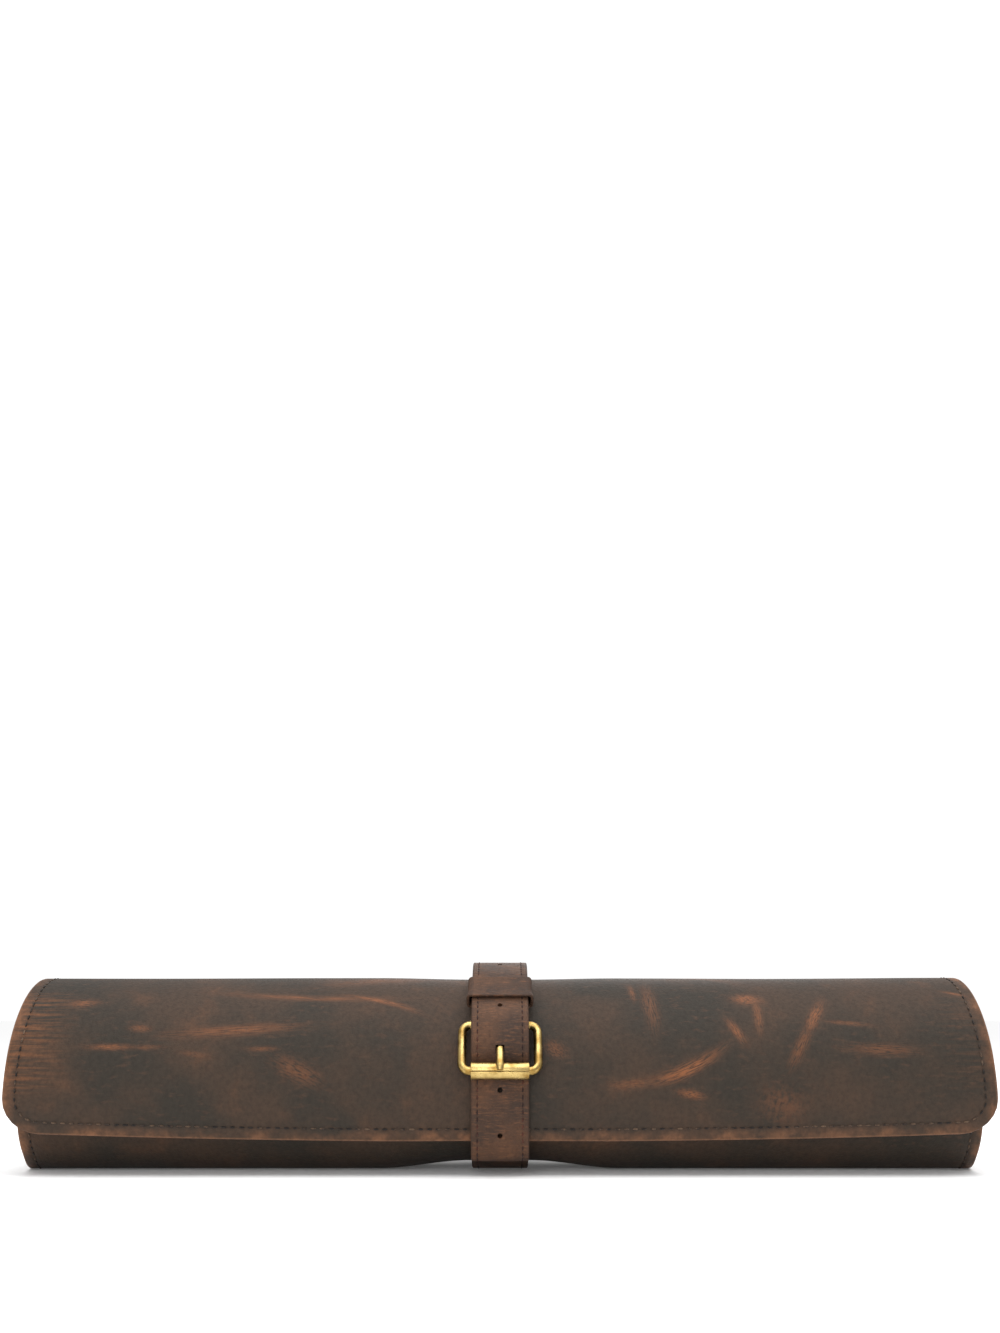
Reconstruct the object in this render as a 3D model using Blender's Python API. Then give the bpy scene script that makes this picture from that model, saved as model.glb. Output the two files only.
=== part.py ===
"""Chef knife roll: a hide panel with a suede lining, pocket and zip, rolled up and held by a strap.

Metres, +Z up. The roll lies along X, its flap's edge in front (-Y), its underside's middle at the origin.
Every leather piece starts as a flat blank: across (from the flap's edge), along (the roll's axis) and depth
(inwards from the outer face). The blank is then rolled up along one path.
"""
import math

import bmesh
import bpy
from mathutils import Vector

# The hide panel
PANEL_ACROSS = 0.485
PANEL_LENGTH = 0.480
PANEL_CORNER = 0.018
LEATHER = 0.0018
BORDER_WIDTH = 0.0065
TURNED_EDGE = 0.0012

# The suede inside
SUEDE = 0.0012
FLAP_CORNER = 0.020
POCKET_START = 0.094
POCKET_MARGIN = 0.009
MOUTH_GAP = 0.0152
BAND_WIDTH = 0.026
BAND_LEATHER = 0.0015
BAND_RAMP = 0.004
STRIP_WIDTH = 0.016
FLAP_DROP = 0.199

# The zip
ZIP_PLACE = 0.034
ZIP_START = 0.053
ZIP_STOP = 0.047
TAPE_WIDTH = 0.020
TAPE = 0.0009
TEETH_WIDTH = 0.005
TEETH = 0.0011
SLIDER_SIZE = 0.009
SLIDER_THICKNESS = 0.0017
RING_WIRE = 0.0012
RING_WIDTH = 0.012
PULLER_WIDTH = 0.015
PULLER_CORNER = 0.003
SLIDER_CORNER = 0.00225

# The way the panel is rolled: turn angles in degrees, 0 faces front, 90 up, 180 back, 270 down
ROLL_RADIUS = 0.0490
FLAT_RUN = 0.014
TURN_PITCH = 0.0080
FLAP_TURN = -20
FLAP_STIFFNESS = 0.7
FLAP_STIFF_SPREAD = 14.0
CURL_START = 385.0
CURL_END = 640.0
CURL_SHARE = 0.42
TURN_STEP = 10
EDGE_BOW = 0.0043
EDGE_RISE = 0.0032
BOW_REACH = 0.045
END_DRAW = 0.0045
DRAW_START = 250
DRAW_TURNS = 60

# The strap's squeeze on the roll
WAIST = 0.0006
SQUEEZE_FLAT = 0.0015
SQUEEZE_FADE = 0.045
RECESS_TURNS = 70.0
RECESS_FADE = 62.0

# The strap
STRAP_WIDTH = 0.028
STRAP_LEATHER = 0.0035
FOLD_LEATHER = 0.0014
FOLD_LENGTH = 0.030
STEP_DOWN = 0.007
TIP_PAST_TOP = 0.030
TIP_LIFT = 0.0018
LEAVE_TURN = 300
LANDING_ROOM = 0.002
BRIDGE_REACH = 0.36
TIP_SLANT = 0.009
HOLE_PITCH = 0.021
HOLE_RADIUS = 0.0013
HOLE_COUNT = 7
HOLE_SIDES = 10
PRONG_SLOT = 0.0056
PRONG_ROOM = 0.0009

# The keeper
KEEPER_WIDTH = 0.013
KEEPER_LEATHER = 0.0014
KEEPER_PLACE = 0.0715
KEEPER_EASE = 0.004
KEEPER_ROUND = 0.00126

# The buckle
BUCKLE_WIDTH = 0.041
BUCKLE_WIRE = 0.0042
BUCKLE_CORNER = 0.0041
BAR_PLACE = 0.0535
BAR_TO_ROLLER = 0.0215
ROLLER_RADIUS = 0.0041
ROLLER_WALL = 0.0017
PRONG_WIDTH = 0.0037
PRONG_THICKNESS = 0.0026
PRONG_EYE = 0.0011
PRONG_EYE_START = 110
PRONG_EYE_END = -200
PRONG_EYE_STEP = -31
PRONG_REST = (40, 65, 88)

GAP = 0.0003
SHEET_GAP = 0.00045
CLOSEST_CUT = 0.001


def remove_everything():
    """Starts from an empty scene."""
    for old in list(bpy.data.objects):
        bpy.data.objects.remove(old, do_unlink=True)


def material(name, colour, roughness, metallic=0.0):
    """A plain finish for one kind of piece."""
    finish = bpy.data.materials.new(name)
    finish.use_nodes = True
    shader = finish.node_tree.nodes["Principled BSDF"]
    shader.inputs["Base Color"].default_value = (*colour, 1.0)
    shader.inputs["Roughness"].default_value = roughness
    shader.inputs["Metallic"].default_value = metallic
    return finish


# The path of the panel's outer face, seen along the roll


def turn_radius(turn):
    """Radius of the roll at a turn angle: flatter below, stiff at the flap's edge, tighter in the core."""
    radius = ROLL_RADIUS + FLAT_RUN / math.pi * math.sin(math.radians(turn))
    radius -= TURN_PITCH * (turn - 90) / 360
    radius *= 1 + FLAP_STIFFNESS * math.exp(-((turn - FLAP_TURN) / FLAP_STIFF_SPREAD) ** 2)
    if turn > CURL_START:
        radius *= 1 - (1 - CURL_SHARE) * (turn - CURL_START) / (CURL_END - CURL_START)
    return radius


def walk_path():
    """Rows of (across, y, z, turn), one for each degree, with the straight run at the bottom."""
    across, y, z, turn = 0.0, 0.0, 0.0, FLAP_TURN
    rows = [(across, y, z, turn)]
    while across < PANEL_ACROSS:
        middle = math.radians(turn + 0.5)
        step = turn_radius(turn + 0.5) * math.radians(1)
        across += step
        y += step * math.sin(middle)
        z += step * math.cos(middle)
        turn += 1
        rows.append((across, y, z, turn))
        if turn == 270:
            across += FLAT_RUN
            y -= FLAT_RUN
            rows.append((across, y, z, turn))
    lowest = min(row[2] for row in rows)
    return [(row[0], row[1], row[2] - lowest, row[3]) for row in rows]


PATH = walk_path()


def on_path(across):
    """Point (y, z) and turn angle of the outer face at a distance from the flap's edge."""
    first, second = PATH[0], PATH[1]
    for row in PATH[1:]:
        if second[0] >= across:
            break
        first, second = second, row
    share = (across - first[0]) / (second[0] - first[0])
    return tuple(first[i] + share * (second[i] - first[i]) for i in (1, 2, 3))


def across_at(turn):
    """Distance from the flap's edge at which the outer face has a turn angle."""
    for row in PATH:
        if row[3] >= turn:
            return row[0]
    return PATH[-1][0]


def turn_stations():
    """Distances across at which every rolled blank is cut, so that nested faces stay parallel."""
    stations = []
    for row in PATH:
        if (row[3] - FLAP_TURN) % TURN_STEP == 0 and 0 < row[0] < PANEL_ACROSS:
            stations.append(row[0])
    return stations


def ease(share):
    """Smooth step from 0 to 1."""
    share = min(1.0, max(0.0, share))
    return share * share * (3 - 2 * share)


SQUEEZE_EDGE = STRAP_WIDTH / 2 + SQUEEZE_FLAT
SQUEEZE_END = SQUEEZE_EDGE + SQUEEZE_FADE
ALONG_STATIONS = [side * place for side in (-1, 1) for place in (SQUEEZE_EDGE, SQUEEZE_END, PANEL_LENGTH / 4)]


def squeeze(along, turn):
    """How far the strap draws the roll in: a little all round, by its whole thickness underneath."""
    near = min(1.0, max(0.0, (SQUEEZE_END - abs(along)) / SQUEEZE_FADE))
    below = ease((RECESS_TURNS - abs(turn % 360 - 270)) / RECESS_FADE)
    return near * (WAIST + below * (STRAP_LEATHER + GAP - WAIST))


def draw_in(along, turn):
    """Place along the roll: under the flap and further in, the panel's ends curl inwards."""
    outer = max(0.0, abs(along) / (PANEL_LENGTH / 4) - 1)
    draw = END_DRAW * outer ** 2 * ease((turn - DRAW_START) / DRAW_TURNS)
    return along - math.copysign(draw, along)


def rolled(across, along, depth):
    """Place in the finished roll of a point on the flat panel."""
    y, z, turn = on_path(across)
    inward = depth + squeeze(along, turn)
    place = draw_in(along, turn)
    turn = math.radians(turn)
    return Vector((place, y + inward * math.cos(turn), z - inward * math.sin(turn)))


# Flat blanks


def blank(across, along, depth, corner=0.0):
    """A flat sheet between (low, high) limits, with its four corners rounded."""
    sheet = bmesh.new()
    bmesh.ops.create_cube(sheet, size=1.0)
    limits = (across, along, depth)
    for vert in sheet.verts:
        vert.co = Vector([low + (vert.co[i] + 0.5) * (high - low) for i, (low, high) in enumerate(limits)])
    if corner:
        upright = [edge for edge in sheet.edges if abs(edge.verts[0].co.z - edge.verts[1].co.z) > 1e-6]
        bmesh.ops.bevel(sheet, geom=upright, offset=corner, offset_type='OFFSET', segments=3, profile=0.5,
                        affect='EDGES', material=-1)
    return sheet


def cut_across(sheet, places, axis):
    """Adds edges across a blank where it will bend."""
    normal = Vector([1.0 if i == axis else 0.0 for i in range(3)])
    for place in places:
        geometry = sheet.verts[:] + sheet.edges[:] + sheet.faces[:]
        bmesh.ops.bisect_plane(sheet, geom=geometry, dist=1e-7, plane_co=normal * place, plane_no=normal)


def finish_object(name, sheet, finish, smooth_angle=35):
    """Turns a closed bmesh into a named object in the roll's collection."""
    mesh = bpy.data.meshes.new(name)
    sheet.to_mesh(mesh)
    sheet.free()
    mesh.materials.append(finish)
    mesh.shade_smooth()
    mesh.set_sharp_from_angle(angle=math.radians(smooth_angle))
    piece = bpy.data.objects.new(name, mesh)
    ROLL.objects.link(piece)
    return piece


def bow_edge(sheet):
    """Lets the flap's edge rise at its ends and hang lower in the middle, where the strap pulls it."""
    for vert in sheet.verts:
        drop = EDGE_BOW * (1 - (2 * vert.co.y / PANEL_LENGTH) ** 2) - EDGE_RISE
        vert.co.x -= drop * ease(1 - vert.co.x / BOW_REACH)


def roll_up(name, sheet, finish, seat=None):
    """Cuts a flat blank at the bending stations, rolls it up and makes it an object."""
    low = min(vert.co.y for vert in sheet.verts)
    high = max(vert.co.y for vert in sheet.verts)
    cut_across(sheet, [place for place in ALONG_STATIONS if low + 1e-4 < place < high - 1e-4], axis=1)
    bow_edge(sheet)
    low = min(vert.co.x for vert in sheet.verts)
    high = max(vert.co.x for vert in sheet.verts)
    cut_across(sheet, [place for place in turn_stations() if low + 1e-4 < place < high - 1e-4], axis=0)
    bmesh.ops.triangulate(sheet, faces=sheet.faces[:])
    for vert in sheet.verts:
        across, along, depth = vert.co
        if seat:
            depth += seat(across, along)
        vert.co = rolled(across, along, depth)
    return finish_object(name, sheet, finish)


# The panel and what is sewn inside it

INNER_FACE = LEATHER + SHEET_GAP
ON_LINING = INNER_FACE + SUEDE + SHEET_GAP
ON_POCKET = ON_LINING + SUEDE + SHEET_GAP
BAND_SEAT = ON_LINING
INSIDE = BORDER_WIDTH + GAP
HALF = PANEL_LENGTH / 2
POCKET_END = PANEL_ACROSS - POCKET_MARGIN
FLAP_FREE_EDGE = HALF - INSIDE - FLAP_DROP
POCKET_MOUTH = FLAP_FREE_EDGE - MOUTH_GAP
PAST_BAND = -HALF + BAND_WIDTH + GAP


def make_outer_panel():
    """The hide, with its edge turned in as a raised border all round."""
    sheet = blank((0, PANEL_ACROSS), (-HALF, HALF), (0, LEATHER + TURNED_EDGE), PANEL_CORNER)
    inner = [face for face in sheet.faces if face.normal.z > 0.9]
    bmesh.ops.inset_region(sheet, faces=inner, thickness=BORDER_WIDTH, use_even_offset=True)
    sunk = bmesh.ops.extrude_face_region(sheet, geom=inner)
    bmesh.ops.delete(sheet, geom=inner, context='FACES')
    floor = [vert for vert in sunk["geom"] if isinstance(vert, bmesh.types.BMVert)]
    bmesh.ops.translate(sheet, verts=floor, vec=(0, 0, -TURNED_EDGE))
    roll_up("outer_panel", sheet, LEATHER_FINISH)


def make_lining():
    """The suede sheet that fills the panel inside its border."""
    sheet = blank((INSIDE, PANEL_ACROSS - INSIDE), (-HALF + INSIDE, HALF - INSIDE),
                  (INNER_FACE, INNER_FACE + SUEDE), PANEL_CORNER - BORDER_WIDTH)
    roll_up("lining", sheet, SUEDE_FINISH)


def make_knife_pocket():
    """The pocket's front sheet, closed by the band at one end and open at its mouth."""
    closed_end = -HALF + BORDER_WIDTH + BAND_RAMP + GAP
    sheet = blank((POCKET_START, POCKET_END), (closed_end, POCKET_MOUTH), (ON_LINING, ON_LINING + SUEDE))
    roll_up("knife_pocket", sheet, SUEDE_FINISH)


def band_seat(across, along):
    """The band lies on the border and the lining, and ramps up over the pocket's two sewn sides."""
    share = min(along + HALF - BORDER_WIDTH, across - POCKET_START + 2 * BAND_RAMP) / BAND_RAMP
    return min(1.0, max(0.0, share)) * (ON_POCKET - BAND_SEAT)


def make_pocket_band():
    """The leather band over the pocket's closed end, from the strip to the core's edge."""
    sheet = blank((POCKET_START - STRIP_WIDTH - GAP, PANEL_ACROSS - INSIDE), (-HALF, -HALF + BAND_WIDTH),
                  (BAND_SEAT, BAND_SEAT + BAND_LEATHER))
    cut_across(sheet, [-HALF + BORDER_WIDTH, -HALF + BORDER_WIDTH + BAND_RAMP], axis=1)
    cut_across(sheet, [POCKET_START - 2 * BAND_RAMP, POCKET_START - BAND_RAMP], axis=0)
    roll_up("pocket_band", sheet, LEATHER_FINISH, seat=band_seat)


def make_divider_strip():
    """The leather strip sewn along the pocket's side."""
    sheet = blank((POCKET_START - GAP - STRIP_WIDTH, POCKET_START - GAP), (PAST_BAND, HALF - INSIDE),
                  (ON_LINING, ON_LINING + BAND_LEATHER))
    roll_up("divider_strip", sheet, LEATHER_FINISH)


def make_top_flap():
    """The suede flap that covers the handles, with rounded free corners."""
    sheet = blank((POCKET_START + GAP, POCKET_END), (FLAP_FREE_EDGE, HALF - INSIDE),
                  (ON_LINING, ON_LINING + SUEDE), FLAP_CORNER)
    roll_up("top_flap", sheet, SUEDE_FINISH)


def make_zip():
    """The zip near the flap's edge: tape, teeth, slider, ring and leather puller."""
    low, high = -HALF + ZIP_START, HALF - ZIP_STOP
    tape = blank((ZIP_PLACE - TAPE_WIDTH / 2, ZIP_PLACE + TAPE_WIDTH / 2), (low, high),
                 (ON_LINING, ON_LINING + TAPE))
    roll_up("zip_tape", tape, TAPE_FINISH)
    on_tape = ON_LINING + TAPE + GAP
    half = TEETH_WIDTH / 2
    teeth = blank((ZIP_PLACE - half, ZIP_PLACE + half), (low + SLIDER_SIZE + GAP, high),
                  (on_tape, on_tape + TEETH))
    roll_up("zip_teeth", teeth, BRASS_FINISH)
    half = SLIDER_SIZE / 2
    slider = blank((ZIP_PLACE - half, ZIP_PLACE + half), (low, low + SLIDER_SIZE),
                   (on_tape, on_tape + SLIDER_THICKNESS), SLIDER_CORNER)
    roll_up("zip_slider", slider, BRASS_FINISH)
    ring = blank((ZIP_PLACE - RING_WIDTH / 2, ZIP_PLACE + RING_WIDTH / 2), (low - GAP - RING_WIRE, low - GAP),
                 (on_tape, on_tape + RING_WIRE))
    roll_up("zip_ring", ring, BRASS_FINISH)
    start = ZIP_PLACE + SLIDER_SIZE / 2 + GAP
    puller_end = low - 2 * GAP - RING_WIRE
    puller = blank((start - PULLER_WIDTH / 2, start + PULLER_WIDTH / 2), (PAST_BAND, puller_end),
                   (ON_LINING, ON_LINING + BAND_LEATHER), PULLER_CORNER)
    roll_up("zip_puller", puller, LEATHER_FINISH)


# The strap's line round the roll


def above(across, height):
    """Point (y, z) over the middle of the roll, at a height above its outer face."""
    place = rolled(across, 0.0, -height)
    return Vector((place.y, place.z))


LANDING = -(EDGE_BOW - EDGE_RISE + LANDING_ROOM)
BASE_MIDDLE = GAP + STRAP_LEATHER / 2
UNDER_KEEPER = GAP + FOLD_LEATHER
ON_KEEPER_LEG = UNDER_KEEPER + GAP + KEEPER_LEATHER + GAP
FOLD_TOP = ON_KEEPER_LEG + FOLD_LEATHER
BAR_RADIUS = BUCKLE_WIRE / 2
BAR_HEIGHT = UNDER_KEEPER + GAP + BAR_RADIUS
EYE_MIDDLE = BAR_RADIUS + GAP + FOLD_LEATHER / 2
EYE_TOP = BAR_HEIGHT + EYE_MIDDLE + FOLD_LEATHER / 2
ROLLER_PLACE = BAR_PLACE - BAR_TO_ROLLER
ROLLER_HEIGHT = GAP + STRAP_LEATHER + GAP + ROLLER_RADIUS
KEEPER_ZONE = KEEPER_WIDTH / 2 + KEEPER_EASE
KEEPER_BEND = KEEPER_WIDTH / 4
TOP_LAYER = FOLD_TOP + GAP + STRAP_LEATHER / 2
OUTER_LAYER = 2 * GAP + 1.5 * STRAP_LEATHER
HUMP = EYE_TOP + GAP + STRAP_LEATHER / 2


def bar_point(angle, radius):
    """Point round the buckle's bar: angle 0 points up the strap, 90 away from the roll."""
    middle = above(BAR_PLACE, BAR_HEIGHT)
    upward = (above(BAR_PLACE, BAR_HEIGHT + 0.001) - middle).normalized()
    along = Vector((upward.y, -upward.x))
    angle = math.radians(angle)
    return middle + radius * (math.cos(angle) * along + math.sin(angle) * upward)


def table_rows(table):
    """Rows (point, thickness) through a table's places, and one at each bending station between them."""
    rows = []
    for first, second in zip(table, table[1:]):
        low, high = sorted((first[0], second[0]))
        places = [first[0]] + [place for place in turn_stations()
                               if low + CLOSEST_CUT < place < high - CLOSEST_CUT]
        places = sorted(places, reverse=second[0] < first[0])
        for place in places:
            share = (place - first[0]) / (second[0] - first[0])
            height = first[1] + share * (second[1] - first[1])
            rows.append((above(place, height), first[2] + share * (second[2] - first[2])))
    rows.append((above(table[-1][0], table[-1][1]), table[-1][2]))
    return rows


def strap_line():
    """Rows of (point, thickness) along the strap's middle, from its folded end to its tip."""
    fold_end = BAR_PLACE + FOLD_LENGTH
    under_bar = GAP + FOLD_LEATHER / 2
    over_leg = ON_KEEPER_LEG + FOLD_LEATHER / 2
    folded = [  # across, height of the middle, thickness
        (fold_end, under_bar, FOLD_LEATHER),
        (BAR_PLACE + EYE_MIDDLE, under_bar, FOLD_LEATHER),
    ]
    base = [  # across, height of the middle, thickness
        (BAR_PLACE + 2 * EYE_MIDDLE, BAR_HEIGHT + 0.86 * EYE_MIDDLE, FOLD_LEATHER),
        (KEEPER_PLACE - KEEPER_ZONE, over_leg, FOLD_LEATHER),
        (fold_end, over_leg, FOLD_LEATHER),
        (fold_end + STEP_DOWN, BASE_MIDDLE, STRAP_LEATHER),
        (across_at(LEAVE_TURN), BASE_MIDDLE, STRAP_LEATHER),
    ]
    front = [  # across, height of the middle, thickness
        (ROLLER_PLACE + 0.05 * BAR_TO_ROLLER, BASE_MIDDLE, STRAP_LEATHER),
        (ROLLER_PLACE + 0.21 * BAR_TO_ROLLER, 0.36 * HUMP, STRAP_LEATHER),
        (ROLLER_PLACE + 0.31 * BAR_TO_ROLLER, 0.60 * HUMP, STRAP_LEATHER),
        (ROLLER_PLACE + 0.43 * BAR_TO_ROLLER, 0.84 * HUMP, STRAP_LEATHER),
        (ROLLER_PLACE + 0.62 * BAR_TO_ROLLER, 0.96 * HUMP, STRAP_LEATHER),
        (BAR_PLACE, HUMP, STRAP_LEATHER),
        (BAR_PLACE + 0.23 * BAR_TO_ROLLER, 0.97 * HUMP, STRAP_LEATHER),
        (KEEPER_PLACE - KEEPER_ZONE, TOP_LAYER + GAP, STRAP_LEATHER),
        (KEEPER_PLACE, TOP_LAYER, STRAP_LEATHER),
        (fold_end, TOP_LAYER, STRAP_LEATHER),
        (fold_end + STEP_DOWN, OUTER_LAYER + TIP_LIFT / 2, STRAP_LEATHER),
        (across_at(90) + TIP_PAST_TOP, OUTER_LAYER + TIP_LIFT, STRAP_LEATHER),
    ]
    rows = table_rows(folded)
    rows += [(bar_point(angle, EYE_MIDDLE), FOLD_LEATHER) for angle in range(-90, -271, -30)]
    rows += table_rows(base)
    rows += [(point, STRAP_LEATHER) for point in bridge(rows[-1][0])]
    rows += table_rows([(LANDING, BASE_MIDDLE, STRAP_LEATHER)] + front)[1:]
    return rows


def spread(first, last, count):
    """Evenly spaced numbers from first to last."""
    return [first + (last - first) * i / (count - 1) for i in range(count)]


def bridge(start):
    """Points of the strap's middle from the lower layer to the flap, round the flap's edge."""
    end = above(LANDING, BASE_MIDDLE)
    turn = math.radians(LEAVE_TURN)
    start_way = Vector((math.sin(turn), math.cos(turn)))
    end_way = (above(LANDING + LANDING_ROOM, BASE_MIDDLE) - end).normalized()
    reach = (end - start).length * BRIDGE_REACH
    points = []
    for share in spread(0, 1, 6)[1:]:
        rest = 1 - share
        point = rest ** 3 * start + 3 * rest ** 2 * share * (start + reach * start_way)
        point += 3 * rest * share ** 2 * (end - reach * end_way) + share ** 3 * end
        points.append(point)
    return points


def ribbon_frame(rows):
    """Adds the length so far and the side direction to the rows of a ribbon's middle line."""
    framed = []
    length = 0.0
    for i, (point, thickness) in enumerate(rows):
        before = rows[max(0, i - 1)][0]
        after = rows[min(len(rows) - 1, i + 1)][0]
        way = (after - before).normalized()
        if i:
            length += (point - before).length
        framed.append((length, point, Vector((-way.y, way.x)), thickness))
    return framed


def bend_ribbon(name, sheet, framed, finish):
    """Cuts a flat ribbon at its line's rows and bends it along them."""
    cut_across(sheet, [row[0] for row in framed[1:-1]], axis=0)
    bmesh.ops.triangulate(sheet, faces=sheet.faces[:])
    for vert in sheet.verts:
        first, second = framed[0], framed[1]
        for row in framed[1:]:
            if second[0] >= vert.co.x - 1e-9:
                break
            first, second = second, row
        share = (vert.co.x - first[0]) / (second[0] - first[0])
        point = first[1].lerp(second[1], share)
        side = first[2].lerp(second[2], share).normalized()
        thickness = first[3] + share * (second[3] - first[3])
        point = point + side * vert.co.z * thickness
        vert.co = Vector((vert.co.y, point.x, point.y))
    bmesh.ops.reverse_faces(sheet, faces=sheet.faces[:])
    return finish_object(name, sheet, finish)


def punch(sheet, centre, across, along, is_round, lean=0.0):
    """Cuts a hole through a flat sheet: a round one, or a square-ended slot that may lean."""
    mesh = bpy.data.meshes.new("punched")
    sheet.to_mesh(mesh)
    sheet.free()
    punched = bpy.data.objects.new("punched", mesh)
    PUNCHES.objects.link(punched)
    cutter_sheet = bmesh.new()
    if is_round:
        bmesh.ops.create_cone(cutter_sheet, segments=HOLE_SIDES, radius1=0.5, radius2=0.5,
                              depth=4.0, cap_ends=True)
    else:
        bmesh.ops.create_cube(cutter_sheet, size=1.0)
        bmesh.ops.scale(cutter_sheet, verts=cutter_sheet.verts[:], vec=(1, 1, 4))
    for vert in cutter_sheet.verts:
        vert.co = Vector((centre + vert.co.x * across + vert.co.z * lean, vert.co.y * along, vert.co.z))
    cutter_mesh = bpy.data.meshes.new("punch")
    cutter_sheet.to_mesh(cutter_mesh)
    cutter_sheet.free()
    cutter = bpy.data.objects.new("punch", cutter_mesh)
    cutter.hide_render = True
    cutter.display_type = 'WIRE'
    PUNCHES.objects.link(cutter)
    cut = punched.modifiers.new("cut", 'BOOLEAN')
    cut.operation = 'DIFFERENCE'
    cut.solver = 'EXACT'
    cut.object = cutter
    evaluated = punched.evaluated_get(bpy.context.evaluated_depsgraph_get())
    result = bmesh.new()
    result.from_mesh(evaluated.to_mesh())
    evaluated.to_mesh_clear()
    bpy.data.objects.remove(punched, do_unlink=True)
    bpy.data.objects.remove(cutter, do_unlink=True)
    return result


def crossing(framed, start, end):
    """Where the line from start to end crosses a ribbon's last stretch, and how it leans there."""
    way = end - start
    for first, second in reversed(list(zip(framed, framed[1:]))):
        low = way.x * (first[1] - start).y - way.y * (first[1] - start).x
        high = way.x * (second[1] - start).y - way.y * (second[1] - start).x
        if low * high <= 0 and 0 < (first[1] - start).dot(way) < way.dot(way):
            place = first[0] + (second[0] - first[0]) * abs(low) / (abs(low) + abs(high))
            outward = way.normalized().dot(first[2])
            return place, outward, way.normalized().dot((second[1] - first[1]).normalized())
    return 0.0, 1.0, 0.0


def make_strap():
    """The doubled strap: folded round the bar, once round the roll, through the buckle and the keeper."""
    framed = ribbon_frame(strap_line())
    end = framed[-1][0]
    sheet = blank((0, end), (-STRAP_WIDTH / 2, STRAP_WIDTH / 2), (-0.5, 0.5))
    slant = Vector((STRAP_WIDTH, TIP_SLANT, 0)).normalized()
    geometry = sheet.verts[:] + sheet.edges[:] + sheet.faces[:]
    cut = bmesh.ops.bisect_plane(sheet, geom=geometry, dist=1e-7, plane_co=(end - TIP_SLANT / 2, 0, 0),
                                 plane_no=slant, clear_outer=True)
    rim = [edge for edge in cut["geom_cut"] if isinstance(edge, bmesh.types.BMEdge)]
    bmesh.ops.holes_fill(sheet, edges=rim)
    arm = prong_arm()
    prong_hole, outward, up_strap = crossing(framed, arm[0], arm[1])
    hole_length = (PRONG_THICKNESS + 2 * PRONG_ROOM) / outward
    for i in range(HOLE_COUNT):
        place = prong_hole + (i - HOLE_COUNT // 2) * HOLE_PITCH
        if i == HOLE_COUNT // 2:
            sheet = punch(sheet, place, hole_length, PRONG_WIDTH + 2 * GAP, False,
                          STRAP_LEATHER * up_strap / outward)
        elif place < end - TIP_SLANT - HOLE_PITCH / 2:
            sheet = punch(sheet, place, 2 * HOLE_RADIUS, 2 * HOLE_RADIUS, True)
    eye = [row[0] for row in framed if (row[1] - buckle_points()[0]).length < EYE_MIDDLE + 0.0001]
    sheet = punch(sheet, (eye[0] + eye[-1]) / 2, eye[-1] - eye[0] + PRONG_SLOT, PRONG_SLOT, False)
    bend_ribbon("strap", sheet, framed, STRAP_FINISH)


def make_keeper():
    """The leather loop: its leg lies in the strap's fold, its top over both layers."""
    low, high = UNDER_KEEPER + GAP, TOP_LAYER + STRAP_LEATHER / 2 + GAP + KEEPER_LEATHER
    side = STRAP_WIDTH / 2 + 2 * GAP + KEEPER_LEATHER
    edge = KEEPER_WIDTH / 2
    outer = blank((KEEPER_PLACE - edge, KEEPER_PLACE + edge), (-side, side), (-high, -low))
    ends = [face for face in outer.faces if abs(face.normal.x) > 0.9]
    bmesh.ops.inset_individual(outer, faces=ends, thickness=KEEPER_LEATHER, use_even_offset=True)
    bmesh.ops.bridge_loops(outer, edges=[edge for face in ends for edge in face.edges])
    bmesh.ops.delete(outer, geom=ends, context='FACES_ONLY')
    bmesh.ops.recalc_face_normals(outer, faces=outer.faces[:])
    long_edges = [edge for edge in outer.edges if abs(edge.verts[0].co.x - edge.verts[1].co.x) > KEEPER_BEND
                  and abs(abs(edge.verts[0].co.y) - side) < 1e-6]
    bmesh.ops.bevel(outer, geom=long_edges, offset=KEEPER_ROUND, offset_type='OFFSET', segments=2,
                    profile=0.5, affect='EDGES', material=-1)
    cut_across(outer, spread(KEEPER_PLACE - KEEPER_BEND, KEEPER_PLACE + KEEPER_BEND, 3), axis=0)
    bmesh.ops.triangulate(outer, faces=outer.faces[:])
    for vert in outer.verts:
        vert.co = rolled(vert.co.x, 0.0, vert.co.z) + Vector((vert.co.y, 0, 0))
    finish_object("keeper", outer, STRAP_FINISH)


# The buckle


def buckle_points():
    """The bar's and the roller's middles, as (y, z)."""
    return above(BAR_PLACE, BAR_HEIGHT), above(ROLLER_PLACE, ROLLER_HEIGHT)


def wire_loop(name, points, radius, finish):
    """A closed wire along points."""
    curve = bpy.data.curves.new(name, 'CURVE')
    curve.dimensions = '3D'
    curve.bevel_depth = radius
    curve.bevel_resolution = 2
    spline = curve.splines.new('POLY')
    spline.points.add(len(points) - 1)
    for knot, place in zip(spline.points, points):
        knot.co = (*place, 1.0)
    spline.use_cyclic_u = True
    wire = bpy.data.objects.new(name, curve)
    curve.materials.append(finish)
    ROLL.objects.link(wire)
    return wire


def make_buckle_frame():
    """The rounded frame: its bar in the strap's fold, its other side inside the roller."""
    bar, roller = buckle_points()
    reach = (roller - bar).length
    way = (roller - bar).normalized()
    half = BUCKLE_WIDTH / 2 - BAR_RADIUS
    points = []
    for side, centre, start in ((1, BUCKLE_CORNER, -90), (1, reach - BUCKLE_CORNER, 0),
                                (-1, reach - BUCKLE_CORNER, 90), (-1, BUCKLE_CORNER, 180)):
        for angle in spread(start, start + 90, 5):
            place = bar + way * (centre + BUCKLE_CORNER * math.sin(math.radians(angle)))
            along = side * (half - BUCKLE_CORNER) + BUCKLE_CORNER * math.cos(math.radians(angle))
            points.append((along, place.x, place.y))
    wire_loop("buckle_frame", points, BAR_RADIUS, BRASS_FINISH)


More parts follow.
